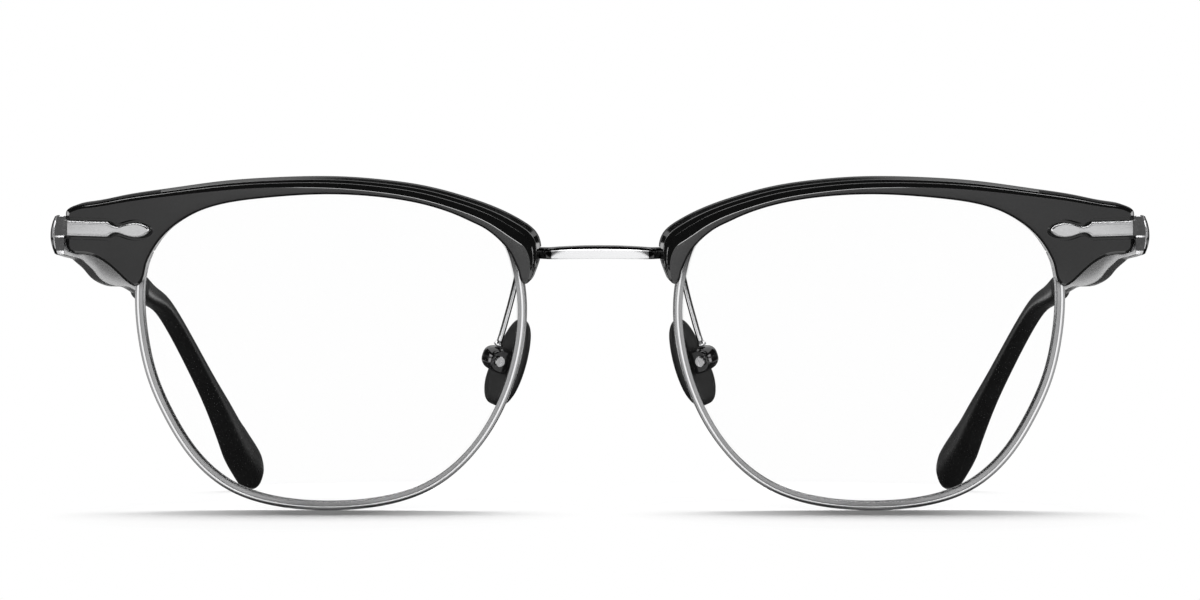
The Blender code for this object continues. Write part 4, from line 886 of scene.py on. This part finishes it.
def make_box(word, place):
    """The pad box: round towards the lens, flat and open towards the pad."""
    section = []
    for k in range(WIRE_SIDES + 1):
        turn = pi * k / WIRE_SIDES
        high = copysign(abs(cos(turn)) ** BOX_ROUNDING, cos(turn))
        deep = abs(sin(turn)) ** BOX_ROUNDING
        section.append((-BOX_DEPTH / 2 + deep * BOX_DEPTH, high * BOX_HEIGHT / 2))
    rings = [[place @ Vector((along * BOX_WIDTH / 2, y * size if y > 0 else y, z * size))
              for y, z in section] for along, size in BOX_ROWS_SHARES]
    box = stack("fine_box_" + word, rings)
    half = Vector((BOX_WIDTH, BOX_DEPTH, BOX_HEIGHT)) / 2
    hollow = block("box_space", (BOX_WALL - half.x, BOX_WALL - half.z),
                   (half.x - BOX_WALL, half.z - BOX_WALL),
                   (-half.y - CUT_OVERRUN, half.y / BOX_HOLLOW_PART),
                   lambda x, z, y: place @ Vector((x, y, z)))
    return combine(box, "DIFFERENCE", hollow)


def make_arm(side, word, place):
    """The wire that carries the pad box, with a collar at the box."""
    foot_side = rim_edge_at(ARM_FOOT_LEVEL, outer=False) + RIM_WALL / 2
    inverse = FRONT.inverted()
    base = inverse @ front_point(side, foot_side, ARM_FOOT_LEVEL, RIM_BACK + SEAT_GAP)
    low = BOX_HEIGHT / 2 + SEAT_GAP
    way = inverse @ (place @ Vector((0, 0, low))) - base
    path = [FRONT @ (base + Vector((way.x * a, way.y * b, way.z * d)))
            for a, d, b in smooth_curve(ARM_PATH_SHARES, FINE_STEPS)]
    frames = path_frames(path, (0, 1, 0))
    frames[0] = (path[0], Vector((1, 0, 0)), Vector((0, 0, 1)))
    rings = [[point + across * x + top * y for x, y in circle(ARM_RADIUS, WIRE_SIDES)]
             for point, across, top in frames]
    # Painted shade on the wire's faces that lean sideways
    arm = tint(stack("fine_arm_" + word, rings), lambda p: abs(p.normal.x) > ARM_PAINTED_SHADE_LEAN)
    edge = COLLAR_RADIUS - COLLAR_EDGE
    rows = ((edge, 0), (COLLAR_RADIUS, COLLAR_EDGE), (COLLAR_RADIUS, COLLAR_HEIGHT - COLLAR_EDGE),
            (edge, COLLAR_HEIGHT), (ARM_RADIUS, COLLAR_NECK))
    collar = [[place @ Vector((x, y, low + high)) for x, y in circle(radius, WIRE_SIDES)]
              for radius, high in rows]
    return combine(arm, "UNION", stack("collar", collar))


def surface(name, roughness, metallic, sockets):
    """A material with its plain values set on the shader's own sockets."""
    made = bpy.data.materials.new("fine_" + name)
    made.use_nodes = True
    shader = made.node_tree.nodes["Principled BSDF"]
    for socket, value in {"Roughness": roughness, "Metallic": metallic, **sockets}.items():
        shader.inputs[socket].default_value = value
    return made, made.node_tree, shader


def cleared_tree(holder):
    """The node tree of a material or a world, emptied."""
    holder.use_nodes = True
    holder.node_tree.nodes.clear()
    return holder.node_tree


def add_node(tree, kind, inputs, **settings):
    """A new node's outputs. Its inputs are joined to sockets or set to values."""
    made = tree.nodes.new("ShaderNode" + kind)
    for name, value in settings.items():
        setattr(made, name, value)
    for name, value in inputs.items():
        if isinstance(value, bpy.types.NodeSocket):
            tree.links.new(value, made.inputs[name])
        else:
            made.inputs[name].default_value = value
    return made.outputs


def add_noise(tree, place, stretch, scale, detail=GRAIN_DETAIL):
    """Noise over a place that is stretched by a share for each direction."""
    place = add_node(tree, "Mapping", {"Vector": place, "Scale": stretch})["Vector"]
    values = {"Vector": place, "Scale": scale, "Detail": detail, "Roughness": NOISE_ROUGHNESS}
    return add_node(tree, "TexNoise", values)["Fac"]


def add_range(tree, value, low, high, start=0.0, stop=1.0):
    """A value carried from one range to another."""
    values = {"Value": value, "From Min": start, "From Max": stop, "To Min": low, "To Max": high}
    return add_node(tree, "MapRange", values)["Result"]


def add_greys(tree, value, greys, stops=(0.0, 1.0)):
    """Colours between two greys as a value goes between two stops."""
    colours = add_node(tree, "ValToRGB", {"Fac": value})["Color"]
    for stop, at, level in zip(colours.node.color_ramp.elements, stops, greys):
        stop.position = at
        stop.color = (level, level, level * GREY_BLUE, 1.0)
    return colours


def make_finish(name, roughness, metallic, stretch, scale, span, greys, relief, sockets):
    """A material that fine stretched noise varies as grain and broad noise as wear."""
    made, tree, shader = surface(name, roughness, metallic, sockets)
    if stretch == BRUSHED:
        place = add_node(tree, "Attribute", {}, attribute_name="flow")["Vector"]
    else:
        place = add_node(tree, "TexCoord", {})["Object"]
    grain = add_noise(tree, place, stretch, scale)
    worn = add_range(tree, add_noise(tree, place, EVEN, WEAR_SCALE, WEAR_DETAIL), 0.0, WEAR_SHARE)
    look = add_node(tree, "Math", {0: grain, 1: GRAIN_SHARE, 2: worn}, operation="MULTIPLY_ADD")[0]
    bump = add_node(tree, "Bump", {"Strength": 1.0, "Distance": relief, "Height": grain})
    tree.links.new(add_range(tree, look, *span, *NOISE_STOPS), shader.inputs["Roughness"])
    tree.links.new(add_greys(tree, look, greys, NOISE_STOPS), shader.inputs["Base Color"])
    tree.links.new(bump["Normal"], shader.inputs["Normal"])
    return made


def make_lens_finish():
    """Clear plastic, nearly unseen face on, with a full shadow."""
    made, tree, shader = surface("clear_lens", LENS_ROUGHNESS, 0.0, {"IOR": LENS_IOR})
    place = add_node(tree, "TexCoord", {})["Object"]
    haze = add_noise(tree, place, EVEN, LENS_HAZE_SCALE)
    grazing = add_node(tree, "LayerWeight", {"Blend": LENS_EDGE_BLEND})["Fresnel"]
    edge = add_range(tree, grazing, 0.0, LENS_EDGE_ALPHA)
    shadow = add_node(tree, "LightPath", {})["Is Shadow Ray"]
    alpha = add_node(tree, "Math", {0: shadow, 1: edge}, operation="ADD")[0]
    tree.links.new(add_range(tree, haze, *LENS_ROUGHNESS_SPAN), shader.inputs["Roughness"])
    tree.links.new(add_greys(tree, haze, LENS_GREYS), shader.inputs["Base Color"])
    tree.links.new(alpha, shader.inputs["Alpha"])
    return made


def seen_directly(tree):
    """One for camera, reflected and transmitted rays, otherwise nothing."""
    rays = add_node(tree, "LightPath", {})
    seen = rays["Is Camera Ray"]
    for ray in ("Is Glossy Ray", "Is Transmission Ray"):
        seen = add_node(tree, "Math", {0: seen, 1: rays[ray]}, operation="MAXIMUM")[0]
    return seen


def add_floor():
    """A white floor that takes shadows near the frame and is plain white further out."""
    bpy.ops.mesh.primitive_plane_add(size=FLOOR_REACH * 2, location=(0, 0, 0))
    floor = bpy.context.object
    floor.name = "floor"
    made = bpy.data.materials.new("floor_white")
    tree = cleared_tree(made)
    plain = add_node(tree, "BsdfDiffuse", {"Color": (FLOOR_COLOUR, FLOOR_COLOUR, FLOOR_COLOUR, 1)})
    lift = add_range(tree, seen_directly(tree), 0.0, FLOOR_LIFT)
    glow = add_node(tree, "Emission", {"Strength": lift})
    near = add_node(tree, "AddShader", {0: plain[0], 1: glow[0]})
    far = add_node(tree, "Emission", {})
    spot = [-at * share for at, share in zip(SHADOW_PLACE, SHADOW_STRETCH)]
    place = add_node(tree, "TexCoord", {})["Object"]
    place = add_node(tree, "VectorMath", {0: place}, operation="ABSOLUTE")["Vector"]
    place = add_node(tree, "VectorMath", {0: place, 1: SHADOW_STRETCH, 2: spot},
                     operation="MULTIPLY_ADD")["Vector"]
    away = add_node(tree, "VectorMath", {0: place}, operation="LENGTH")["Value"]
    fade = add_range(tree, away, 0.0, 1.0, *FLOOR_FADE)
    mix = add_node(tree, "MixShader", {"Fac": fade, 1: near[0], 2: far[0]})
    add_node(tree, "OutputMaterial", {"Surface": mix[0]})
    floor.data.materials.append(made)


def add_world():
    """A plain world, white where it is seen and weak as a light."""
    world = bpy.data.worlds.new("studio")
    bpy.context.scene.world = world
    tree = cleared_tree(world)
    level = add_range(tree, seen_directly(tree), WORLD_LIGHT, 1.0)
    back = add_node(tree, "Background", {"Color": (1, 1, 1, 1), "Strength": level})
    add_node(tree, "OutputWorld", {"Surface": back[0]})


def add_card(name, place, size, toward, level):
    """A studio card that only reflections show."""
    made = bpy.data.materials.new(name)
    tree = cleared_tree(made)
    glow = add_node(tree, "Emission", {"Strength": level})
    add_node(tree, "OutputMaterial", {"Surface": glow[0]})
    bpy.ops.mesh.primitive_plane_add(size=1, location=place)
    card = bpy.context.object
    card.name = name
    card.scale = (*size, 1)
    card.rotation_euler = (Vector(toward) - Vector(place)).to_track_quat("Z", "Y").to_euler()
    card.data.materials.append(made)
    card.visible_camera = card.visible_diffuse = False
    card.visible_shadow = card.visible_transmission = False


def add_lamp(name, place, size, power, shown):
    """A rectangular lamp that faces the frame, for its reflections or for its light."""
    lamp = bpy.data.lights.new(name, "AREA")
    lamp.shape = "RECTANGLE"
    lamp.size, lamp.size_y = size
    lamp.energy = power
    holder = link(name, lamp)
    holder.location = place
    holder.rotation_euler = (-Vector(place)).to_track_quat("-Z", "Y").to_euler()
    holder.visible_glossy = shown
    holder.visible_diffuse = not shown


def add_studio():
    """The floor, the world, the lamps and the cards round the frame."""
    add_floor()
    add_world()
    for lamp in LAMPS:
        add_lamp(*lamp)
    for card in CARDS:
        add_card(*card)
    for turn in CORNER_TURNS_DEG:
        angle = radians(turn)
        half = CORNER_CARD[1] / 2
        place = (sin(angle) * CORNER_DISTANCE, -cos(angle) * CORNER_DISTANCE, half)
        add_card("corner_card_%d" % turn, place, CORNER_CARD, (0, 0, half), CORNER_LEVEL)


def add_camera():
    """The camera at the photograph's place and angle."""
    data = bpy.data.cameras.new("camera")
    data.lens = FOCAL_MM
    data.sensor_width = SENSOR_MM
    data.clip_start = CLIP_START
    data.clip_end = CLIP_END
    camera = link("camera", data)
    camera.location = CAMERA_PLACE
    camera.rotation_euler = (radians(CAMERA_PITCH_DEG), 0, 0)
    bpy.context.scene.camera = camera


def redress(made, finish, edge):
    """Gives a CAD node that stays in sight softened edges and a better finish."""
    for holder in made.material_slots:
        holder.material = finish
    weld = made.modifiers.new("weld", "WELD")
    weld.merge_threshold = WELD_REACH
    soft = made.modifiers.new("soft", "BEVEL")
    soft.width = edge
    soft.segments = EDGE_SEGMENTS
    soft.limit_method = "ANGLE"
    soft.harden_normals = True


def build(frame):
    """Every finished piece."""
    finish = {key: make_finish(*values) for key, values in FINISHES.items()}
    finish["lens"] = make_lens_finish()
    pivots = {joint["name"]: Vector(joint["pos_m"]) for joint in frame["joints"]}
    dress(make_bridge(), [finish["bright"], finish["smoke"]], "satin_metal", "front", "bridge")
    for word, side in SIDES:
        hinge = pivots["temple_fold_" + word]
        place = Matrix.Translation(pivots["nose_pad_rock_" + word]) @ pad_turn(side)
        temple, pad = "temple_assembly_" + word, "nose_pad_assembly_" + word
        pieces = (
            (make_rim(side, word), "satin slope bright", "satin_metal", "front", "rim_"),
            (make_lens(side, word), "lens", "clear_lens", "front", "lens_"),
            (make_brow(side, word), "gloss face steps tip", "black_brow", "front", "brow_"),
            (make_endpiece(side, word), "bar smoke", "satin_metal", "front", "endpiece_"),
            (make_temple(side, word, hinge), "temple", "satin_metal", temple, "temple_"),
            (make_tip(side, word, hinge), "tip", "black_tip", temple, "temple_tip_"),
            (make_pad(word, place), "pad", "black_pad", pad, "nose_pad_"),
            # The pad box gets the near-black metal all over as a painted dark reflection
            (make_box(word, place), "smoke", "polished_metal", "front", "pad_box_"),
            (make_arm(side, word, place), "chrome smoke", "polished_metal", "front", "pad_arm_"))
        for made, looks, slot, body, node in pieces:
            dress(made, [finish[look] for look in looks.split()], slot, body, node + word)
        for node in ("rim_lock_upper_", "rim_lock_lower_", "brow_lug_nose_", "brow_lug_temple_",
                     "front_hinge_", "temple_hinge_"):
            redress(frame["nodes"][node + word], finish["plate"], FITTING_EDGE)
        for node in ("pad_insert_", "pad_screw_", "rim_lock_screw_", "brow_screw_nose_",
                     "brow_screw_temple_", "hinge_screw_"):
            redress(frame["nodes"][node + word], finish["polished"], SCREW_EDGE)


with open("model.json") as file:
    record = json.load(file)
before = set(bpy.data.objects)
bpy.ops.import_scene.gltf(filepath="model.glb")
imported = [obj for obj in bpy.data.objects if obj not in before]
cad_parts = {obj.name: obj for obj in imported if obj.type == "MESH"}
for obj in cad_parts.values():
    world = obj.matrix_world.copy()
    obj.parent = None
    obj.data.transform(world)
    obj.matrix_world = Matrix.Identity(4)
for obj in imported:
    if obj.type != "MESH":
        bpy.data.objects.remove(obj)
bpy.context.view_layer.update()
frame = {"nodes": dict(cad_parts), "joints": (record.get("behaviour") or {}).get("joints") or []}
build(frame)
add_studio()
add_camera()
bpy.context.scene.view_settings.view_transform = "Standard"
